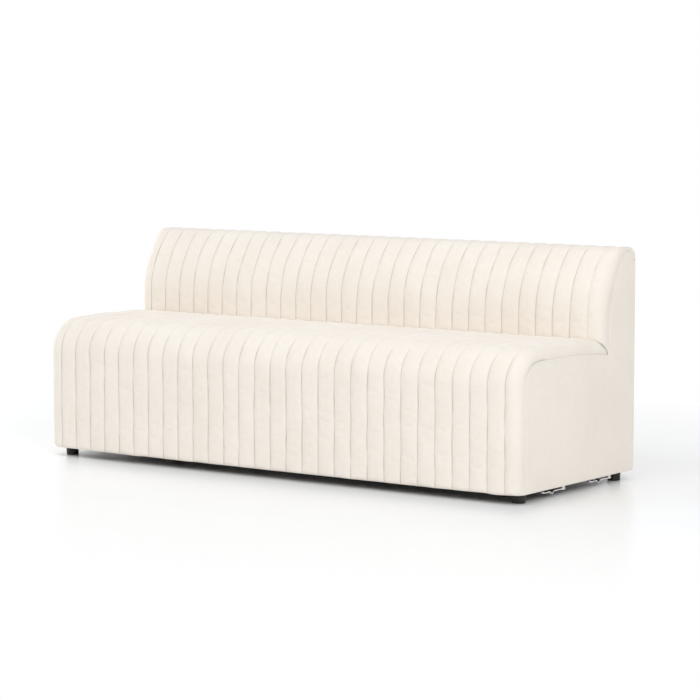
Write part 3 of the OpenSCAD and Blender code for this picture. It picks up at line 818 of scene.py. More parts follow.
@dataclass(frozen=True)
class Timber(Finish):
    """Sawn timber or plywood, with grain along X and rings or plies across it."""

    dark: str = "#b98f5c"
    plies: float = 0.0

    def surface(self, w: Wires) -> dict:
        """Wires rings, fibres and plies.

        Args:
            w: The tree.

        Returns:
            The surface's inputs.
        """
        dark, fibre = linear(self.dark), w.fibres((14, 420, 420))
        rings = {"Scale": 1.1, "Distortion": 7.0, "Detail": 3.0, "Detail Scale": 1.4}
        warped = w.wave({"Vector": w.stretched((3, 26, 26)), **rings}, "DIAGONAL")
        colour = w.blend(w.span(warped, 0.1, 0.95, (0.05, 0.75)), linear(self.colour), dark)
        colour = w.blend(w.span(fibre, 0.4, 0.75, (0, 0.35)), colour, dark)
        if self.plies:
            ply = w.wave({"Vector": w.coords(), "Scale": self.plies / (2 * math.pi)}, "X")
            colour = w.blend(w.span(ply, 0.6, 0.9, (0, 0.45)), colour, dark)
        return {
            "Base Color": colour,
            "Roughness": w.spread(fibre, 0.55, 0.75),
            "Specular IOR Level": 0.35,
            "Normal": w.bump(w.maths("MULTIPLY_ADD", warped, 0.4, fibre), 0.0004),
        }


@dataclass(frozen=True)
class Moulded(Finish):
    """Satin moulded plastic with a fine spark-eroded texture and rubbed edges."""

    rubbed: str = "#3c3a37"

    def surface(self, w: Wires) -> dict:
        """Wires the grain, scuffs and worn edges.

        Args:
            w: The tree.

        Returns:
            The surface's inputs.
        """
        scuff = w.span(w.fibres((220, 220, 60), 4, 0.7), 0.58, 0.75)
        edge = w.add("NewGeometry").outputs["Pointiness"]
        worn = w.maths("MAXIMUM", w.span(edge, 0.52, 0.6), w.maths("MULTIPLY", scuff, 0.35))
        return {
            "Base Color": w.blend(worn, linear(self.colour), linear(self.rubbed)),
            "Roughness": w.spread(w.noise(90), 0.38, 0.52),
            "Specular IOR Level": 0.35,
            "Normal": w.bump(w.noise(1400), 0.00012),
        }


@dataclass(frozen=True)
class Steel(Finish):
    """Steel with a zinc coat or an oiled mill finish, brushed along X and lightly stained."""

    stain: str = "#8c9096"
    rough: Pair = (0.22, 0.4)

    def surface(self, w: Wires) -> dict:
        """Wires the brushing and the stains.

        Args:
            w: The tree.

        Returns:
            The surface's inputs.
        """
        brushed, clouds = w.fibres((900, 60, 900)), w.noise(45, 4)
        both = w.maths("ADD", w.maths("MULTIPLY", clouds, 0.6), w.maths("MULTIPLY", brushed, 0.4))
        stained = w.span(clouds, 0.42, 0.7, (0, 0.6))
        return {
            "Base Color": w.blend(stained, linear(self.colour), linear(self.stain)),
            "Metallic": 1.0,
            "Roughness": w.span(both, 0.35, 0.65, self.rough),
            "Normal": w.bump(brushed, 0.00008),
        }


COVER = PileFabric("Ivory_pile_fabric", "#f3ece2", Slot.COVER)
DUST = Woven("Black_dust_cloth", "#101010", Slot.DUST)
THREAD = Woven("Ivory_thread", "#f1e8da", Slot.COVER, 2600.0, 0.0001)
ELASTIC = Woven("Black_elastic", "#1b1b1c", Slot.ELASTIC, 1100.0, 0.0004)
FELT = Matted("Grey_felt", "#85847f", Slot.FELT, "#b9b7b0", 900.0, 0.0008)
FOAM = Matted("Straw_foam", "#e9d9a8", Slot.FOAM, "#f6ecc9", 620.0, 0.0005)
BOARD = Matted("Brown_fibreboard", "#9c7a52", Slot.BOARD, "#b99a70", 1300.0, 0.0002)
SOFTWOOD = Timber("Sawn_softwood", "#dcbd8c", Slot.SOFTWOOD)
PLYWOOD = Timber("Birch_plywood", "#d8ba8a", Slot.PLYWOOD, "#b08a58", 360.0)
FOOT = Moulded("Black_moulded_plastic", "#151412", Slot.FOOT)
BRIGHT = Steel("Bright_zinc_steel", "#ecebe8", Slot.BRIGHT)
SPRING = Steel("Oiled_spring_steel", "#8b9096", Slot.SPRING, "#5c5f63", (0.3, 0.5))
FASTENER = Steel("Plated_fastener_steel", "#cdc9ba", Slot.FASTENER, "#a39c83", (0.25, 0.42))


# Mesh helpers


def deselect() -> None:
    """Leaves nothing selected and no object active."""
    for o in bpy.context.selected_objects:
        o.select_set(False)
    bpy.context.view_layer.objects.active = None


def new_mesh(name: str, points: Array, faces: Iterable[Sequence[int]]) -> Object:
    """Makes an object from bench millimetres.

    Args:
        name: The piece's name.
        points: Points in bench millimetres.
        faces: Corner numbers of each face.

    Returns:
        The object, at the origin.
    """
    mesh = bpy.data.meshes.new(name)
    mesh.from_pydata(to_row(points).tolist(), [], [list(map(int, f)) for f in faces])
    mesh.validate()
    mesh.update()
    obj = bpy.data.objects.new(name, mesh)
    bpy.context.scene.collection.objects.link(obj)
    return obj


def face_outwards(obj: Object, mixed: bool = False) -> None:
    """Turns a closed mesh's faces outwards and shades it smooth.

    Args:
        obj: The object.
        mixed: Whether its faces point both ways, and are evened out first.
    """
    bm = bmesh.new()
    bm.from_mesh(obj.data)
    if mixed:
        bmesh.ops.recalc_face_normals(bm, faces=bm.faces)
    if bm.calc_volume(signed=True) < 0:
        bmesh.ops.reverse_faces(bm, faces=bm.faces)
    bm.to_mesh(obj.data)
    bm.free()
    obj.data.shade_smooth()


def select_end(obj: Object, direction: Triple) -> None:
    """Selects, in edit mode, only the faces that are square to a direction and face it.

    Args:
        obj: The object in edit mode.
        direction: The direction, one unit long.
    """
    bpy.ops.mesh.select_mode(type="FACE")
    bpy.ops.mesh.select_all(action="DESELECT")
    bm = bmesh.from_edit_mesh(obj.data)
    bm.normal_update()
    for face in bm.faces:
        face.select_set(face.normal.dot(Vector(direction)) > SQUARE)
    bmesh.update_edit_mesh(obj.data)


def paint_crease_shade(obj: Object, shares: Array) -> None:
    """Stores how much of a crease each point lies in, as the share of painted shade in the cover's
    material.
    """
    layer = obj.data.attributes.new("crease", "FLOAT", "POINT")
    layer.data.foreach_set("value", np.clip(shares, 0, 1).astype(np.float32))


def dress(obj: Object, finish: Finish, *replaced: str) -> None:
    """Gives a new piece its material and its body, and hides the CAD nodes that it stands for.

    Args:
        obj: The piece.
        finish: Its finish.
        *replaced: Names of the nodes.
    """
    obj.data.materials.clear()
    obj.data.materials.append(finish.material())
    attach(obj, BODY)
    if replaced:
        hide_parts(*replaced)


def report(obj: Object) -> None:
    """Reports a finished piece through the log."""
    triangles = sum(len(p.vertices) - 2 for p in obj.data.polygons)
    LOG.info("%s: %d triangles", obj.name, triangles)


# Quilted covers


class Waves:
    """Smooth random lines made of a few sine waves."""

    def __init__(self, seed: int) -> None:
        """Starts a seeded generator."""
        self.draw = np.random.default_rng(seed)

    def line(self, along: Array, low: float, high: float, size: float, count: int = 5) -> Array:
        """One smooth random line.

        Args:
            along: Positions.
            low: Shortest wave.
            high: Longest wave.
            size: Root mean square of the line, roughly.
            count: Number of waves.

        Returns:
            A value for each position.
        """
        lengths = np.exp(self.draw.uniform(np.log(low), np.log(high), count))
        phases = self.draw.uniform(0, 2 * np.pi, count)
        weights = self.draw.uniform(0.5, 1, count)
        waves = zip(weights, lengths, phases)
        total = sum(k * np.sin(2 * np.pi * along / length + p) for k, length, p in waves)
        return size * total / math.sqrt(0.5 * float((weights**2).sum()))

    def lines(self, count: int, along: Array, low: float, high: float, size: float) -> Array:
        """Several smooth random lines, as an array of [position, line]."""
        return np.stack([self.line(along, low, high, size) for _ in range(count)], 1)


def smooth_between(values: Array, at: Array, to: Array) -> Array:
    """Cubic interpolation along the first axis.

    Args:
        values: Values at rising positions.
        at: Those positions.
        to: Positions to work out, within the same range.

    Returns:
        The values there.
    """
    i = np.clip(np.searchsorted(at, to, side="right") - 1, 0, len(at) - 2)
    shape = (-1,) + (1,) * (values.ndim - 1)
    gap = (at[i + 1] - at[i]).reshape(shape)
    t = ((to - at[i]) / (at[i + 1] - at[i])).reshape(shape)
    slope = np.gradient(values, at, axis=0)
    start, end = values[i], values[i + 1]
    rise = end - start
    a = slope[i] * gap - rise
    b = rise - slope[i + 1] * gap
    return start + t * rise + t * (1 - t) * ((1 - t) * a + t * b)


@dataclass(frozen=True)
class ClothRun:
    """Settings of the simulation that lets a quilted cover swell between its seams.

    mass is in kilograms for each point, and most is the furthest that a point may move.
    """

    frames: int = 14
    quality: int = 4
    mass: float = 0.25
    pressure: float = 2.2
    stretch: float = 24.0
    bending: float = 0.9
    spare: float = -0.01
    most: float = 0.7

    def settle(self, points: Array, held: Array) -> Array:
        """Simulates a sheet of cloth that is sewn down along some of its points.

        Args:
            points: Points of [row, column, 3] in bench millimetres.
            held: Which of them are sewn down.

        Returns:
            How far each point moves, in millimetres.
        """
        m, n = points.shape[:2]
        number = np.arange(m * n).reshape(m, n)
        quads = np.stack([number[:-1, :-1], number[:-1, 1:], number[1:, 1:], number[1:, :-1]], -1)
        obj = new_mesh("Cloth_run", points.reshape(-1, 3), quads.reshape(-1, 4))
        group = obj.vertex_groups.new(name="sewn")
        group.add(number[held].tolist(), 1.0, "REPLACE")
        cloth = obj.modifiers.new("Cloth", "CLOTH")
        cloth.point_cache.frame_start, cloth.point_cache.frame_end = 1, self.frames
        cloth.collision_settings.use_collision = False
        cloth.settings.effector_weights.gravity = 0
        wanted = {
            "quality": self.quality,
            "mass": self.mass,
            "tension_stiffness": self.stretch,
            "compression_stiffness": self.stretch,
            "bending_stiffness": self.bending,
            "use_pressure": True,
            "uniform_pressure_force": self.pressure,
            "shrink_min": self.spare,
            "vertex_group_mass": group.name,
        }
        for name, value in wanted.items():
            setattr(cloth.settings, name, value)
        for at in range(1, self.frames + 1):
            bpy.context.scene.frame_set(at)
        settled = obj.evaluated_get(bpy.context.evaluated_depsgraph_get()).data
        moved = np.empty(m * n * 3)
        settled.vertices.foreach_get("co", moved)
        move = moved.reshape(m, n, 3) / MM - [0, SIZES.front_y, 0] - points
        bpy.data.objects.remove(obj)
        bpy.context.scene.frame_set(1)
        length = np.linalg.norm(move, axis=2, keepdims=True)
        return move * np.minimum(1, self.most / np.maximum(length, TINY))


class Rows:
    """The stations of a cover as arrays, with an entry for each row of points."""

    def __init__(self, stations: Sequence[Station]) -> None:
        """Turns the stations into arrays.

        Args:
            stations: The stations in order.
        """
        columns = [np.array(column) for column in zip(*stations)]
        self.seam, self.inwards, self.end_r, self.crown, self.lining, self.side, self.sewn = columns
        self.count, self.along = len(stations), run_along(self.seam)
        self.unit = self.inwards / np.linalg.norm(self.inwards, axis=1, keepdims=True)


class Line(NamedTuple):
    """One line of points along a cover: its points, crease shares of painted shade and distance from the
    middle seam.
    """

    points: Array
    mark: Array
    across: float
    held: bool = False
    coarse: bool = False


@dataclass
class QuiltedCover:
    """A channelled cover, closed with its lining: the seat's or the back's.

    Widths and heights are in millimetres, and the shortest and longest waves of what varies along
    the seams too. uneven and swell are shares. A faint seam keeps a share of its depth, and more of
    it within faint_w of faint_at, a share of the way along. across holds the shares across half
    a channel at which lines of points lie, coarse the numbers of those in the cloth simulation,
    and flat_at and fall_at the shares before and past the corner of an end channel.
    """

    name: str
    stations: list[Station]
    seed: int
    replaces: str
    faint_seams: tuple[int, ...] = ()
    faint_share: float = 0.12
    faint_more: float = 0.7
    faint_at: float = 0.52
    faint_w: float = 22.0
    s: BenchSizes = SIZES
    cloth: ClothRun = ClothRun()
    puff: float = 4.8
    pinch: float = 1.7
    pinch_w: float = 2.2
    pucker: float = 0.2
    pucker_w: float = 9.0
    pucker_waves: Pair = (14.0, 28.0)
    wobble: float = 0.8
    wobble_waves: Pair = (130.0, 560.0)
    uneven: float = 0.2
    drawn_waves: Pair = (60.0, 300.0)
    swell: float = 0.06
    lift_waves: Pair = (120.0, 600.0)
    roundness: float = 2.1
    fullness: float = 0.92
    groove: float = 0.4
    groove_w: float = 2.2
    # Painted shade: its spread at the seams, and its share at the side seams.
    painted_shade_w: float = 1.5
    side_painted_shade: float = 0.08
    end_swell: float = 0.35
    hem_seed: int = 21
    hem_wave: float = 0.8
    hem_waves: Pair = (60.0, 400.0)
    hem_lift: float = 5.0
    hem_lift_w: float = 40.0
    hem_lift_from: float = 27.0
    hem_fade: float = 30.0
    hem_hold: float = 16.0
    across: tuple[float, ...] = (0, 0.018, 0.045, 0.085, 0.14, 0.22, 0.33, 0.5)
    coarse: tuple[int, ...] = (0, 4, 6, 7)
    flat_at: tuple[float, ...] = (0.07, 0.18, 0.38, 0.66)
    turn_lines: int = 11
    fall_at: tuple[float, ...] = (0.3, 0.55, 0.75, 0.88, 0.96, 1)
    coarse_at: tuple[float, ...] = (0.38, 0.5, 1)

    def __post_init__(self) -> None:
        """Draws the seams' and channels' small irregularities."""
        s, self.rows, waves = self.s, Rows(self.stations), Waves(self.seed)
        along, sewn, seams = self.rows.along, self.rows.sewn[:, None], self.s.channels - 1
        self.wander = waves.lines(seams, along, *self.wobble_waves, self.wobble)
        self.drawn = (1 + waves.lines(seams, along, *self.drawn_waves, self.uneven)) * sewn
        self.gather = waves.lines(seams, along, *self.pucker_waves, self.pucker) * sewn
        self.lift = 1 + waves.lines(s.channels, along, *self.lift_waves, self.swell)
        for k in self.faint_seams:
            near = hump(along - self.faint_at * along[-1], self.faint_w)
            self.drawn[:, k] *= self.faint_share + self.faint_more * near

    def seam_x(self, k: int) -> float:
        """Distance of seam k from the middle."""
        return k * self.s.pitch - self.s.last_seam

    def bulge(self, share: Array | float) -> Array:
        """Height of a channel, from 0 at its seams to 1, at shares across it."""
        return (1 - np.abs(2 * np.asarray(share) - 1) ** self.roundness) ** self.fullness

    def drawn_in(self, k: int, distance: Array | float) -> Array:
        """How much seam k draws the cloth in at a distance from it."""
        gather = self.gather[:, k] * hump(distance, self.pucker_w) * np.tanh(distance / 2)
        return self.pinch * self.drawn[:, k] * hump(distance, self.pinch_w) - gather

    def mark(self, k: int, distance: Array | float) -> Array:
        """Crease share of painted shade of seam k at a distance from it."""
        return self.drawn[:, k] * hump(distance, self.painted_shade_w) * self.rows.crown

    def place(self, x: Array, base: Array, height: Array, turn: float, side: int) -> Array:
        """Points at a height over a base line.

        Args:
            x: Distances across the bench.
            base: Depth and height of the base line.
            height: Heights over it.
            turn: Angle turned round the end of the bench, in radians.
            side: Sign of the end.

        Returns:
            The points of each row.
        """
        point = np.empty((self.rows.count, 3))
        point[:, 0] = x + side * math.sin(turn) * height
        point[:, 1:] = base - self.rows.unit * (math.cos(turn) * height)[:, None]
        return point

    def channel_line(self, k: int, share: float, coarse: bool) -> Line:
        """Line of points in the channel between seams k and k + 1.

        Args:
            k: Number of the first seam.
            share: Share of the way across the channel.
            coarse: Whether the cloth simulation uses the line.

        Returns:
            The line.
        """
        pitch = self.s.pitch
        x = mix(self.seam_x(k), self.seam_x(k + 1), share)
        height = self.puff * self.lift[:, k + 1] * self.bulge(share)
        height = height - self.drawn_in(k, share * pitch) - self.drawn_in(k + 1, (1 - share) * pitch)
        # Painted shade in the creases of both seams.
        mark = self.mark(k, share * pitch) + self.mark(k + 1, (1 - share) * pitch)
        wander = mix(self.wander[:, k], self.wander[:, k + 1], share)
        points = self.place(x + wander, self.rows.seam, height * self.rows.crown, 0, 1)
        return Line(points, mark, x, share in (0, 1), coarse)

    def end_line(self, end: Side, zone: Zone, t: float) -> Line:
        """Line of points in an end channel.

        Args:
            end: Which end.
            zone: Part of the channel.
            t: Share of the way through that part.

        Returns:
            The line.
        """
        s, r, side = self.s, self.rows, end.value
        k = 0 if end is Side.LEFT else s.channels - 2
        lift = self.lift[:, 0 if end is Side.LEFT else -1]
        turn = {Zone.FLAT: 0, Zone.TURN: t, Zone.FALL: 1}[zone] * math.pi / 2
        flat, bend = s.side_x - r.end_r - s.last_seam, r.end_r * math.pi / 2
        fall = np.linalg.norm(r.side - r.seam - r.end_r[:, None] * r.inwards, axis=1)
        done = {Zone.FLAT: flat * t, Zone.TURN: flat + bend * t, Zone.FALL: flat + bend + fall * t}[zone]
        total = flat + bend + fall
        base = r.seam + (r.end_r * (1 - math.cos(turn)))[:, None] * r.inwards
        if zone is Zone.FALL:
            base = base + (r.side - base) * t
        x = s.last_seam + (flat * t if zone is Zone.FLAT else flat) + r.end_r * math.sin(turn)
        if zone is Zone.FLAT:
            x = x + side * self.wander[:, k] * (1 - t)
        height = self.puff * lift * self.bulge(done / total) * (1 + self.end_swell * math.sin(2 * turn))
        height = (height - self.drawn_in(k, done)) * r.crown
        height = height - self.groove * hump(total - done, self.groove_w)
        # Painted shade at the channel's seam and at the side seam.
        mark = self.mark(k, done) + self.side_painted_shade * hump(total - done, self.painted_shade_w)
        points = self.place(side * x, base, height, turn, side)
        last = zone is Zone.FALL and t == 1
        return Line(points, mark, side * float((s.last_seam + done).mean()), last, t in self.coarse_at)

    def lines(self) -> list[Line]:
        """All lines of the cover.

        Returns:
            The lines from left to right.
        """
        shares = (self.flat_at, np.linspace(0, 1, self.turn_lines), self.fall_at)
        zones = [(zone, float(t)) for zone, all_t in zip(Zone, shares) for t in all_t]
        left = [self.end_line(Side.LEFT, zone, t) for zone, t in reversed(zones)]
        right = [self.end_line(Side.RIGHT, zone, t) for zone, t in zones]
        last = len(self.across) - 1
        half = [(share, i in self.coarse) for i, share in enumerate(self.across)]
        full = half + [(1 - share, coarse) for share, coarse in reversed(half[1:last])]
        middle = [self.channel_line(k, *at) for k in range(self.s.channels - 2) for at in full]
        return left + middle + [self.channel_line(self.s.channels - 3, 1, True)] + right

    def swelled(self, points: Array, lines: list[Line]) -> Array:
        """Adds what the cloth simulation does on a coarser grid of the same points.

        Args:
            points: Points of [row, column, 3].
            lines: The line of each column.

        Returns:
            The moved points.
        """
        along = self.rows.along
        rows = np.unique([*range(0, len(along), 2), len(along) - 1])
        columns = np.array([i for i, line in enumerate(lines) if line.coarse])
        held = np.zeros((len(rows), len(columns)), bool)
        held[:, [lines[i].held for i in columns]] = True
        held[:2], held[-2:] = True, True
        move = self.cloth.settle(points[np.ix_(rows, columns)], held)
        across = np.array([line.across for line in lines])
        move = smooth_between(move, along[rows], along)
        return points + smooth_between(move.swapaxes(0, 1), across[columns], across).swapaxes(0, 1)

    def hang(self, points: Array) -> Array:
        """Lets the seat's lower edge wave a little and lift near its corners.

        Args:
            points: Points of [row, column, 3].

        Returns:
            The same points, moved.
        """
        x = points[0, :, 0]
        corner = np.maximum(0, np.abs(x) - self.s.panel_x + self.hem_lift_from) / self.hem_lift_w
        lift = Waves(self.seed + self.hem_seed).line(x, *self.hem_waves, self.hem_wave)
        lift = lift + self.hem_lift * corner**2
        fade = np.exp(-np.maximum(0, points[:, :, 2] - self.s.skirt_z) / self.hem_fade)
        ends = [np.linalg.norm(points - points[:, [end]], axis=2) for end in (0, -1)]
        points[:, :, 2] += lift * fade * (1 - hump(np.minimum(*ends), self.hem_hold))
        return points

    def close(self, outer: Array, marks: Array) -> Object:
        """Closes the face with its lining.

        Args:
            outer: Points of [row, column, 3].
            marks: Crease share of painted shade at each point.

        Returns:
            The closed piece.
        """
        m, n = outer.shape[:2]
        x, side, lining = np.ones(m) * self.s.panel_x, self.rows.side, self.rows.lining
        inner = [(x, side), (x, lining), (-x, lining), (-x, side)]
        rings = np.concatenate([outer, np.stack([np.column_stack(c) for c in inner], 1)], axis=1)
        width, middle = n + 4, n // 2
        number = np.arange(m * width).reshape(m, width)
        around = np.roll(number, -1, axis=1)
        quads = np.stack([around[:-1], number[:-1], number[1:], around[1:]], -1).reshape(-1, 4)
        cap = [(width - 2, width - 1, 0), (width - 3, width - 2, middle)]
        cap += [(width - 2, j, j + 1) for j in range(middle)]
        cap += [(width - 3, j, j + 1) for j in range(middle, n)]
        last = (m - 1) * width
        faces = [*quads.tolist(), *cap, *((c + last, b + last, a + last) for a, b, c in cap)]
        obj = new_mesh(self.name, rings.reshape(-1, 3), faces)
        paint_crease_shade(obj, np.concatenate([marks, np.zeros((m, 4))], axis=1).ravel())
        return obj

    def build(self) -> None:
        """Makes and dresses the cover."""
        lines = self.lines()
        points = np.stack([line.points for line in lines], 1)
        points = self.swelled(points, lines)
        if self.stations[0].seam[1] < self.s.skirt_z + 1:
            points = self.hang(points)
        obj = self.close(points, np.stack([line.mark for line in lines], 1))
        face_outwards(obj)
        dress(obj, COVER, self.replaces)
        report(obj)


# Flat cloths


@dataclass
class CutCloth:
    """Cloth cut to an outline in one plane, with holes, and closed as a thin body."""

    name: str
    replaces: str
    outline: Array
    lift: Lift
    holes: list[Array] = field(default_factory=list)
    step: float = 9.0
    rings: tuple[float, ...] = ()
    fan: tuple[float, ...] = (0.5, 0.0, 0.25, 0.75, 1.0)
    sharp_below: float = 0.95
    ring_clear: float = 0.98
    grid_clear: float = 4.0
    hole_clear: float = 3.0
    finish: Finish = COVER

    @property
    def loops(self) -> list[Array]:
        """The outline and the holes."""
        return [self.outline, *self.holes]

    @staticmethod
    def distance(points: Array, line: Array, closed: bool = True) -> Array:
        """Distance of each point from a line.

        Args:
            points: Points in the plane.
            line: Corners of the line.
            closed: Whether the line's end joins its start.

        Returns:
            One distance for each point.
        """
        ends = np.roll(line, -1, axis=0) if closed else line[1:]
        best = np.full(len(points), np.inf)
        for p, q in zip(line, ends):
            d = q - p
            t = np.clip(((points - p) @ d) / max(float(d @ d), TINY), 0, 1)
            best = np.minimum(best, np.linalg.norm(points - p - t[:, None] * d, axis=1))
        return best

    def inside(self, points: Array) -> Array:
        """Which points lie inside the outline and outside the holes.

        Args:
            points: Points in the plane.

        Returns:
            One answer for each point.
        """
        x, y = points[:, 0], points[:, 1]
        result = np.zeros(len(points), bool)
        for loop in self.loops:
            for (x0, y0), (x1, y1) in zip(loop, np.roll(loop, -1, axis=0)):
                if y0 != y1:
                    result ^= ((y0 > y) != (y1 > y)) & (x < x0 + (y - y0) * (x1 - x0) / (y1 - y0))
        return result

    def scatter(self) -> Array:
        """Spreads points inside the outline: rings near its edge, fanned round corners, and a grid.

        Returns:
            The points.
        """
        low, high = self.outline.min(0), self.outline.max(0)
        d = np.roll(self.outline, -1, axis=0) - self.outline
        after = np.column_stack([-d[:, 1], d[:, 0]]) / np.linalg.norm(d, axis=1)[:, None]
        before = np.roll(after, 1, axis=0)
        sharp = (before * after).sum(1) < self.sharp_below
        found = []
        for share in self.fan:
            normal = before + (after - before) * share
            normal /= np.linalg.norm(normal, axis=1)[:, None]
            if share == 0.5 and self.inside(self.outline + normal * 2).mean() < 0.5:
                before, after, normal = -before, -after, -normal
            for r in self.rings:
                ring = (self.outline + normal * r)[sharp | (share == 0.5)]
                clear = self.distance(ring, self.outline) > r * self.ring_clear
                found.append(ring[self.inside(ring) & clear])
        xs, ys = (np.arange(low[i] + self.step / 2, high[i], self.step) for i in (0, 1))
        grid = np.stack(np.meshgrid(xs, ys), -1).reshape(-1, 2)
        grid[:, 0] += (np.round((grid[:, 1] - low[1]) / self.step) % 2) * self.step / 2
        near = max(self.rings, default=self.grid_clear / 2) + self.grid_clear
        grid = grid[self.inside(grid)]
        for loop in self.loops:
            clear = near if loop is self.outline else self.hole_clear
            grid = grid[self.distance(grid, loop) > clear]
        return np.concatenate([*found, grid])

    def height(self, points: Array) -> tuple[Array, Array, Array]:
        """Heights of both faces over the plane, and the crease share of painted shade, at each point."""
        raise NotImplementedError

    def declare(self, obj: Object) -> None:
        """A last step that each kind of soft piece may take."""
        raise NotImplementedError

    def build(self) -> None:
        """Makes and dresses the cloth."""
        edges = []
        for loop in self.loops:
            start, count = len(edges), len(loop)
            edges += [(start + i, start + (i + 1) % count) for i in range(count)]
        points = np.concatenate([*self.loops, self.scatter()])
        vectors = [Vector(p) for p in points.tolist()]
        out, _, faces, origin, *_ = delaunay_2d_cdt(vectors, edges, [], 1, 1e-4)
        flat = np.array([tuple(p) for p in out])
        middles = np.array([flat[list(f)].mean(0) for f in faces])
        faces = [tuple(f) for f, ok in zip(faces, self.inside(middles)) if ok]
        where = {old: new for new, olds in enumerate(origin) for old in olds}
        upper, lower, mark = self.height(flat)
        n = len(flat)
        walls = [(where[a], where[b], where[b] + n, where[a] + n) for a, b in edges]
        backs = [tuple(i + n for i in reversed(f)) for f in faces]
        both = np.concatenate([self.lift(flat, upper), self.lift(flat, lower)])
        obj = new_mesh(self.name, both, faces + backs + walls)
        paint_crease_shade(obj, np.concatenate([mark, np.zeros(n)]))
        face_outwards(obj, mixed=True)
        dress(obj, self.finish, self.replaces)
        self.declare(obj)
        report(obj)


@dataclass
class FlatCover(CutCloth):
    """A plain padded cover in one plane: a side's or the rear's."""

    thickness: float = 10.0
    seed: int = 0
    stitch: Array | None = None
    edge_drop: float = 1.3
    # Painted shade along the edge and at the stitching.
    edge_painted_shade: float = 0.08
    edge_painted_shade_w: float = 1.6
    roll: float = 8.0
    roll_power: float = 2.2
    swell: float = 1.1
    swell_w: float = 60.0
    swell_waves: Pair = (160.0, 700.0)
    swell_sizes: Pair = (0.6, 0.8)
    stitch_w: float = 1.4
    stitch_drop: float = 0.5
    stitch_painted_shade: float = 0.2
    rings: tuple[float, ...] = (0.7, 1.6, 2.8, 4.2, 6.0, 7.6, 8.8, 9.6, 10.4, 11.4, 13.0, 16.0)

    def height(self, points: Array) -> tuple[Array, Array, Array]:
        """Rolls the face off at its edge, lets it swell softly and draws it in at the stitching, with
        painted shade at both.

        Args:
            points: Points in the plane.

        Returns:
            Heights of the face and of the inner plane, and the crease share of painted shade, at each
            point.
        """
        d = self.distance(points, self.outline)
        t = np.clip(1 - d / self.roll, 0, 1)
        h = self.thickness - self.edge_drop * (1 - np.sqrt(np.maximum(0, 1 - t**self.roll_power)))
        waves, both = Waves(self.seed), zip(points.T, self.swell_sizes)
        along, across = (waves.line(place, *self.swell_waves, size, 4) for place, size in both)
        h = h + np.clip(along * across, -self.swell, self.swell) * np.clip(d / self.swell_w, 0, 1)
        # Painted shade where the face rolls off at its edge and at the stitching.
        mark = self.edge_painted_shade * hump(d, self.edge_painted_shade_w)
        if self.stitch is not None:
            near = hump(self.distance(points, self.stitch, closed=False), self.stitch_w)
            h, mark = h - self.stitch_drop * near, mark + self.stitch_painted_shade * near
        return h, np.zeros(len(points)), mark

    def declare(self, obj: Object) -> None:
        """Takes no last step for a pad."""


@dataclass
class DustCover(CutCloth):
    """The thin black cloth stapled under the frame, stretched and a little slack between rails."""

    thickness: float = 1.0
    sag: float = 2.0
    sag_power: float = 1.5
    bays: tuple[Pair, ...] = ()
    depths: Pair = (0.0, 0.0)
    step: float = 14.0
    finish: Finish = DUST

    def height(self, points: Array) -> tuple[Array, Array, Array]:
        """Lets the cloth hang between the rails.

        Args:
            points: Points in the plane.

        Returns:
            Heights of the lower and upper faces over the floor, and no creases.
        """
        hang = np.zeros(len(points))
        v = np.clip((points[:, 1] - self.depths[0]) / (self.depths[1] - self.depths[0]), 0, 1)
        for x0, x1 in self.bays:
            u = np.clip((points[:, 0] - x0) / (x1 - x0), 0, 1)
            hang = hang + (np.sin(np.pi * u) * np.sin(np.pi * v)) ** self.sag_power
        low = SIZES.foot_h - self.sag * hang
        return low, low + self.thickness, np.zeros(len(points))

    def declare(self, obj: Object) -> None:
        """Takes no last step for the stretched sheet."""


# Thread and feet


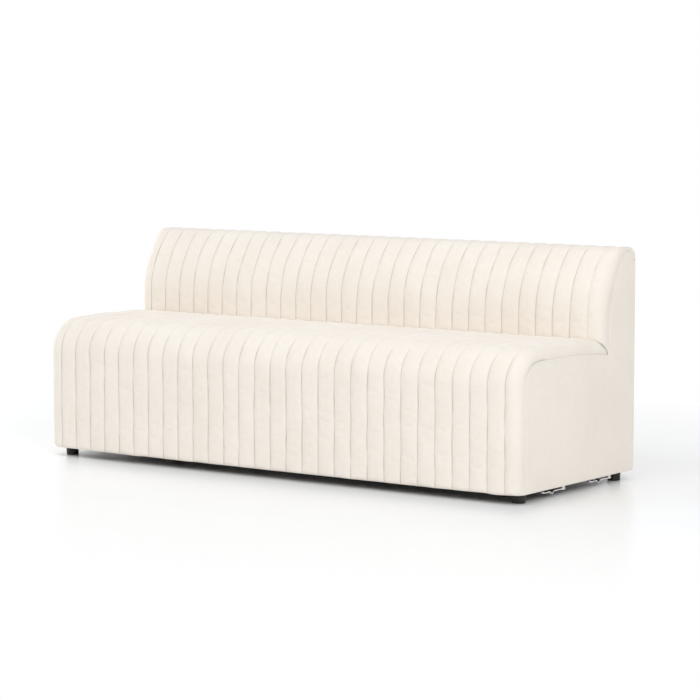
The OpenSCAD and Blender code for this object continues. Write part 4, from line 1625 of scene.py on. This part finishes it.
@dataclass
class TopStitch:
    """The thread of a side cover's top stitching, one stitch after another along its line.

    Each of tip holds how far a stitch's end goes on, as a share of its length, how much thinner
    it gets, and how far it dips, as a share of the thread's radius.
    """

    name: str
    cover: FlatCover
    length: float = 5.2
    gap: float = 1.8
    thread_d: float = 1.0
    sides: int = 8
    tip: tuple[Triple, ...] = ((0.16, 0.9, 0.1), (0.22, 0.6, 0.5))

    def stitch(self) -> tuple[Array, list[tuple[int, ...]]]:
        """Models one stitch along X, whose ends taper and dip into the cloth.

        Returns:
            Its points in millimetres and its faces.
        """
        deselect()
        r, half = self.thread_d / 2 * MM, self.length / 2 * MM
        lying = (0, math.pi / 2, 0)
        bpy.ops.mesh.primitive_cylinder_add(vertices=self.sides, radius=r, depth=half, rotation=lying)
        obj = bpy.context.active_object
        bpy.ops.object.transform_apply(location=False, rotation=True, scale=False)
        bpy.ops.object.mode_set(mode="EDIT")
        for end in (-1, 1):
            select_end(obj, (end, 0, 0))
            for share, narrow, dip in self.tip:
                move = (end * share * self.length * MM, 0, -dip * r)
                bpy.ops.mesh.extrude_region_move(TRANSFORM_OT_translate={"value": move})
                bpy.ops.transform.resize(value=(1, narrow, narrow))
        bpy.ops.object.mode_set(mode="OBJECT")
        points = np.array([v.co for v in obj.data.vertices]) / MM
        faces = [tuple(p.vertices) for p in obj.data.polygons]
        bpy.data.objects.remove(obj)
        return points, faces

    def build(self) -> None:
        """Sets a copy of the stitch at each step along the line."""
        line, (model, loops) = self.cover.stitch, self.stitch()
        along = run_along(line)
        count = int(along[-1] // (self.length + self.gap))
        at = (np.arange(count) + 0.5) * along[-1] / count
        ends = [at - self.length / 2, at + self.length / 2]
        a, b = (np.column_stack([np.interp(t, along, line[:, i]) for i in (0, 1)]) for t in ends)
        middle, run = (a + b) / 2, (b - a) / np.linalg.norm(b - a, axis=1)[:, None]
        across = np.stack([-run[:, 1], run[:, 0]], 1)
        flat = middle[:, None] + model[:, 0, None] * run[:, None] + model[:, 1, None] * across[:, None]
        height = (self.cover.height(middle)[0] + self.thread_d / 4)[:, None] + model[:, 2]
        points = self.cover.lift(flat.reshape(-1, 2), height.ravel())
        faces = [tuple(i + k * len(model) for i in loop) for k in range(count) for loop in loops]
        obj = new_mesh(self.name, points, faces)
        face_outwards(obj, mixed=True)
        dress(obj, THREAD)
        report(obj)


@dataclass
class Feet:
    """The moulded feet: a tapered body with a rolled sole, a hollow underneath and the stud's hole."""

    nodes: tuple[str, ...] = ("foot_front_left", "foot_front_right", "foot_rear_left", "foot_rear_right")
    sides: int = 96
    taper: float = 42 / 45
    sole_roll: float = 3.0
    top_roll: float = 0.5
    sole_ring: float = 4.5
    hollow: float = 0.8
    stud_hole_r: float = 4.05
    stud_hole: float = 20.0
    smooth_below: float = 35.0

    def first(self) -> Object:
        """Models the first foot in its place.

        Returns:
            The foot.
        """
        low, high = (Vector(v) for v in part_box(self.nodes[0]))
        middle, tall, radius = (low + high) / 2, high.z - low.z, (high.x - low.x) / 2
        sole, up, down = (middle.x, middle.y, low.z), (0, 0, 1), (0, 0, -1)
        deselect()
        bpy.ops.mesh.primitive_cylinder_add(
            vertices=self.sides, radius=radius, depth=tall, location=middle
        )
        foot = bpy.context.active_object
        bpy.ops.object.transform_apply(location=True, rotation=False, scale=False)
        bpy.ops.object.mode_set(mode="EDIT")
        select_end(foot, down)
        bpy.ops.transform.resize(value=(self.taper, self.taper, 1), center_override=sole)
        bpy.ops.mesh.bevel(offset=self.sole_roll * MM, segments=6, affect="EDGES")
        select_end(foot, down)
        bpy.ops.mesh.inset(thickness=self.sole_ring * MM)
        bpy.ops.mesh.inset(thickness=self.hollow * MM / 4)
        bpy.ops.transform.translate(value=(0, 0, self.hollow * MM))
        select_end(foot, up)
        bpy.ops.mesh.bevel(offset=self.top_roll * MM, segments=2, affect="EDGES")
        select_end(foot, up)
        bpy.ops.mesh.inset(thickness=radius - (self.top_roll + self.stud_hole_r) * MM)
        sink = {"value": (0, 0, -self.stud_hole * MM)}
        bpy.ops.mesh.extrude_region_move(TRANSFORM_OT_translate=sink)
        bpy.ops.mesh.select_all(action="SELECT")
        bpy.ops.mesh.normals_make_consistent(inside=False)
        bpy.ops.object.mode_set(mode="OBJECT")
        bpy.ops.object.shade_smooth_by_angle(angle=math.radians(self.smooth_below))
        return foot

    def build(self) -> None:
        """Makes and dresses the feet, each with its own mesh."""
        first = self.first()
        start = Vector(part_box(self.nodes[0])[0])
        made = [first]
        for node in self.nodes[1:]:
            foot = first.copy()
            foot.data = first.data.copy()
            foot.data.transform(Matrix.Translation(Vector(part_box(node)[0]) - start))
            bpy.context.scene.collection.objects.link(foot)
            made.append(foot)
        for foot, node in zip(made, self.nodes):
            foot.name = foot.data.name = node.capitalize()
            dress(foot, FOOT, node)
            report(foot)
        deselect()


# Studio


@dataclass(frozen=True)
class Lamp:
    """An area lamp that looks at a point of the bench."""

    name: str
    place: Triple
    power: float
    size: Pair
    colour: Triple = (1.0, 1.0, 1.0)
    aim: Triple = (0.0, 0.0, 0.35)

    def build(self) -> None:
        """Adds the lamp."""
        data = bpy.data.lights.new(self.name, "AREA")
        data.shape, data.size, data.size_y, data.energy = "RECTANGLE", *self.size, self.power
        data.color = self.colour
        lamp = bpy.data.objects.new(self.name, data)
        bpy.context.scene.collection.objects.link(lamp)
        turn = (Vector(self.aim) - Vector(self.place)).to_track_quat("-Z", "Y")
        lamp.matrix_world = Matrix.Translation(self.place) @ turn.to_matrix().to_4x4()


@dataclass
class Studio:
    """Camera, floor, white surroundings and lamps.

    sky is the world's strength at its rim and from dome_top up, and white_from is where the
    floor begins and ends to turn white, as distances that floor_spread scales.
    """

    camera_place: Triple = (5.3353, -7.3062, 1.3306)
    azimuth: float = 35.787
    pitch: float = 5.88
    lens: float = 138.116
    sensor: float = 36.0
    sight: float = 200.0
    sky: Pair = (0.32, 0.7)
    dome_top: float = 0.7
    floor_size: float = 60.0
    floor_spread: Triple = (0.62, 1.0, 1.0)
    floor_colours: tuple[Triple, Triple] = ((0.95, 0.96, 0.965), (0.96, 0.97, 0.975))
    white_from: Pair = (0.95, 2.3)
    lamps: list[Lamp] = field(
        default_factory=lambda: [
            Lamp("Key_lamp", (5.8, -4.0, 3.7), 190, (3.2, 3.2)),
            Lamp("Fill_lamp", (-4.4, -4.6, 3.0), 52, (3.5, 3.5)),
            Lamp("Top_lamp", (0.0, -1.3, 2.7), 18, (4.5, 1.2), (0.84, 0.91, 1.0)),
            Lamp("Rim_lamp", (-5.0, 0.4, 1.3), 74, (2.5, 2.0)),
        ]
    )

    def build(self) -> None:
        """Makes the studio."""
        bpy.context.scene.view_settings.view_transform = "Standard"
        self.camera()
        self.floor()
        self.surroundings()
        for lamp in self.lamps:
            lamp.build()

    def camera(self) -> None:
        """Adds the camera at the photograph's place."""
        data = bpy.data.cameras.new("Camera")
        data.sensor_width, data.lens, data.clip_end = self.sensor, self.lens, self.sight
        camera = bpy.data.objects.new("Camera", data)
        camera.location = self.camera_place
        camera.rotation_euler = (math.radians(90 - self.pitch), 0, math.radians(self.azimuth))
        bpy.context.scene.collection.objects.link(camera)
        bpy.context.scene.camera = camera

    def floor(self) -> None:
        """Adds the floor, which keeps the bench's shadow and turns white far away."""
        deselect()
        bpy.ops.mesh.primitive_grid_add(x_subdivisions=8, y_subdivisions=8, size=self.floor_size)
        floor = bpy.context.active_object
        floor.name = "Floor"
        w = Wires(bpy.data.materials.new("Pale_floor"))
        spread = w.stretched(self.floor_spread)
        far = w.add("VectorMath", {0: spread}, operation="LENGTH").outputs["Value"]
        seen = w.add("LightPath").outputs["Is Camera Ray"]
        cloudy = w.blend(w.spread(w.noise(3), 0, 1), *self.floor_colours)
        pale = {"Base Color": cloudy, "Roughness": 0.24, "Specular IOR Level": 0.3}
        body = w.add("BsdfPrincipled", pale).outputs[0]
        white = w.add("Emission", {"Color": (1, 1, 1, 1), "Strength": 1.0}).outputs[0]
        share = w.maths("MULTIPLY", w.span(far, *self.white_from), seen)
        floor.data.materials.append(w.end("MixShader", {0: share, 1: body, 2: white}))
        deselect()

    def surroundings(self) -> None:
        """Makes the world a soft dome that dims to its rim, and white where it is seen or mirrored."""
        world = bpy.data.worlds.new("Studio_white")
        bpy.context.scene.world = world
        w = Wires(world)
        rays = w.add("LightPath").outputs
        seen = w.maths("MAXIMUM", rays["Is Camera Ray"], rays["Is Glossy Ray"])
        white = w.maths("MAXIMUM", seen, rays["Is Transmission Ray"])
        height = w.add("SeparateXYZ", {0: w.add("TexCoord").outputs["Generated"]}).outputs["Z"]
        dome = {"Value": height, "From Max": self.dome_top, "To Min": self.sky[0], "To Max": self.sky[1]}
        dim = w.add("MapRange", dome, interpolation_type="SMOOTHSTEP").outputs[0]
        strength = w.add("MapRange", {"Value": white, "To Min": dim, "To Max": 1.0}).outputs[0]
        w.end("Background", {"Color": (1, 1, 1, 1), "Strength": strength})


# Assembly


NODE_FINISHES: dict[Finish, tuple[str, ...]] = {
    SOFTWOOD: (
        *("base_", "corner_block", "seat_front_rail", "seat_rear_rail"),
        *("back_post", "back_top_rail", "back_lower_rail", "catch_blocks"),
    ),
    PLYWOOD: ("left_end_panel", "right_end_panel", "left_rib", "right_rib"),
    BOARD: ("front_board", "rear_board"),
    SPRING: ("seat_springs",),
    FASTENER: ("spring_clips", "foot_studs", "foot_insert_nuts", "panel_screws", "plate_screws"),
    FELT: ("deck_felt",),
    FOAM: ("seat_foam", "back_foam"),
    ELASTIC: ("back_webbing",),
    FOOT: ("foot_front", "foot_rear"),
    BRIGHT: ("hook_", "catch_plate", "catch_studs"),
    DUST: ("dust_cover",),
    COVER: ("seat_cover", "back_cover", "left_side_cover", "right_side_cover", "rear_cover"),
}


def dress_frame() -> None:
    """Gives every carried-over CAD node its finish."""
    for name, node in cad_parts.items():
        finish = next(f for f, starts in NODE_FINISHES.items() if name.startswith(starts))
        node.data.materials.clear()
        node.data.materials.append(finish.material())


def islands(node: str) -> list[Pair]:
    """Middles of a node's loose parts.

    Args:
        node: Name of a CAD node.

    Returns:
        Their X and their depth behind the front seams, in millimetres.
    """
    bm, found, seen = bmesh.new(), [], set()
    bm.from_mesh(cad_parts[node].data)
    bmesh.ops.remove_doubles(bm, verts=bm.verts, dist=TINY)
    for first in bm.verts:
        part, waiting = [], [] if first in seen else [first]
        seen.update(waiting)
        while waiting:
            part.append(waiting.pop())
            joined = {e.other_vert(part[-1]) for e in part[-1].link_edges} - seen
            seen |= joined
            waiting += joined
        if part:
            xs, ys = [v.co.x / MM for v in part], [v.co.y / MM - SIZES.front_y for v in part]
            found.append(((min(xs) + max(xs)) / 2, (min(ys) + max(ys)) / 2))
    bm.free()
    return found


def on_side(side: Side) -> Lift:
    """How a side cover's plane points become bench points."""
    return lambda p, h: np.column_stack([side.value * (SIZES.panel_x + h), p[:, 0], p[:, 1]])


def on_rear(p: Array, h: Array) -> Array:
    """How the rear cover's plane points become bench points."""
    return np.column_stack([p[:, 0], SIZES.back_y - SIZES.rear_pad_t + h, p[:, 1]])


def underneath(p: Array, h: Array) -> Array:
    """How the dust cover's plane points become bench points."""
    return np.column_stack([p, h])


def dust_cover(profiles: Profiles) -> DustCover:
    """The dust cover, with holes where the feet's studs and the plates' screws pass.

    Args:
        profiles: The curves of the covers.

    Returns:
        The cloth, not yet built.
    """
    (x0, y0, _), (x1, y1, _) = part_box("dust_cover")
    low, high = (x0 / MM, y0 / MM - SIZES.front_y), (x1 / MM, y1 / MM - SIZES.front_y)
    outline = profiles.loop(low, high)
    holes = [circle(p, STUD_HOLE_R, 24) for p in islands("foot_studs")]
    holes += [circle(p, SCREW_HOLE_R, 12) for p in islands("plate_screws")]
    ribs = [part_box(f"base_cross_rail_{side}") for side in ("left", "right")]
    rails = [(a[0] / MM, b[0] / MM) for a, b in ribs]
    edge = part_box("catch_plate_front")[1][0] / MM + PLATE_EDGE
    bays = ((edge, rails[0][0]), (rails[0][1], rails[1][0]), (rails[1][1], -edge))
    front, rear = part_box("base_front_rail")[1][1] / MM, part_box("base_rear_rail")[0][1] / MM
    depths = (front - SIZES.front_y, rear - SIZES.front_y)
    return DustCover("Dust_cover", "dust_cover", outline, underneath, holes, bays=bays, depths=depths)


def main() -> None:
    """Builds the pieces in order and stages them."""
    logging.basicConfig(level=logging.INFO, format="%(name)s: %(message)s")
    profiles, s = Profiles(), SIZES
    dress_frame()
    QuiltedCover("Seat_cover", profiles.seat(), seed=11, replaces="seat_cover").build()
    last = (s.channels - 2,)
    QuiltedCover("Back_cover", profiles.back(), seed=12, replaces="back_cover", faint_seams=last).build()
    outline, stitch = profiles.side_outline(), profiles.side_stitch()
    for side in Side:
        name = side.name.lower()
        cover = FlatCover(
            f"{name.capitalize()}_side_cover",
            f"{name}_side_cover",
            outline,
            on_side(side),
            thickness=s.side_pad_t,
            seed=33 + side.value,
            stitch=stitch,
        )
        cover.build()
        TopStitch(f"{name.capitalize()}_top_stitch", cover).build()
    rear = profiles.rear_outline()
    FlatCover(
        "Rear_cover", "rear_cover", rear, on_rear, step=12.0, thickness=s.rear_pad_t, seed=35
    ).build()
    dust_cover(profiles).build()
    Feet().build()
    Studio().build()


if __name__ == "__main__":
    main()
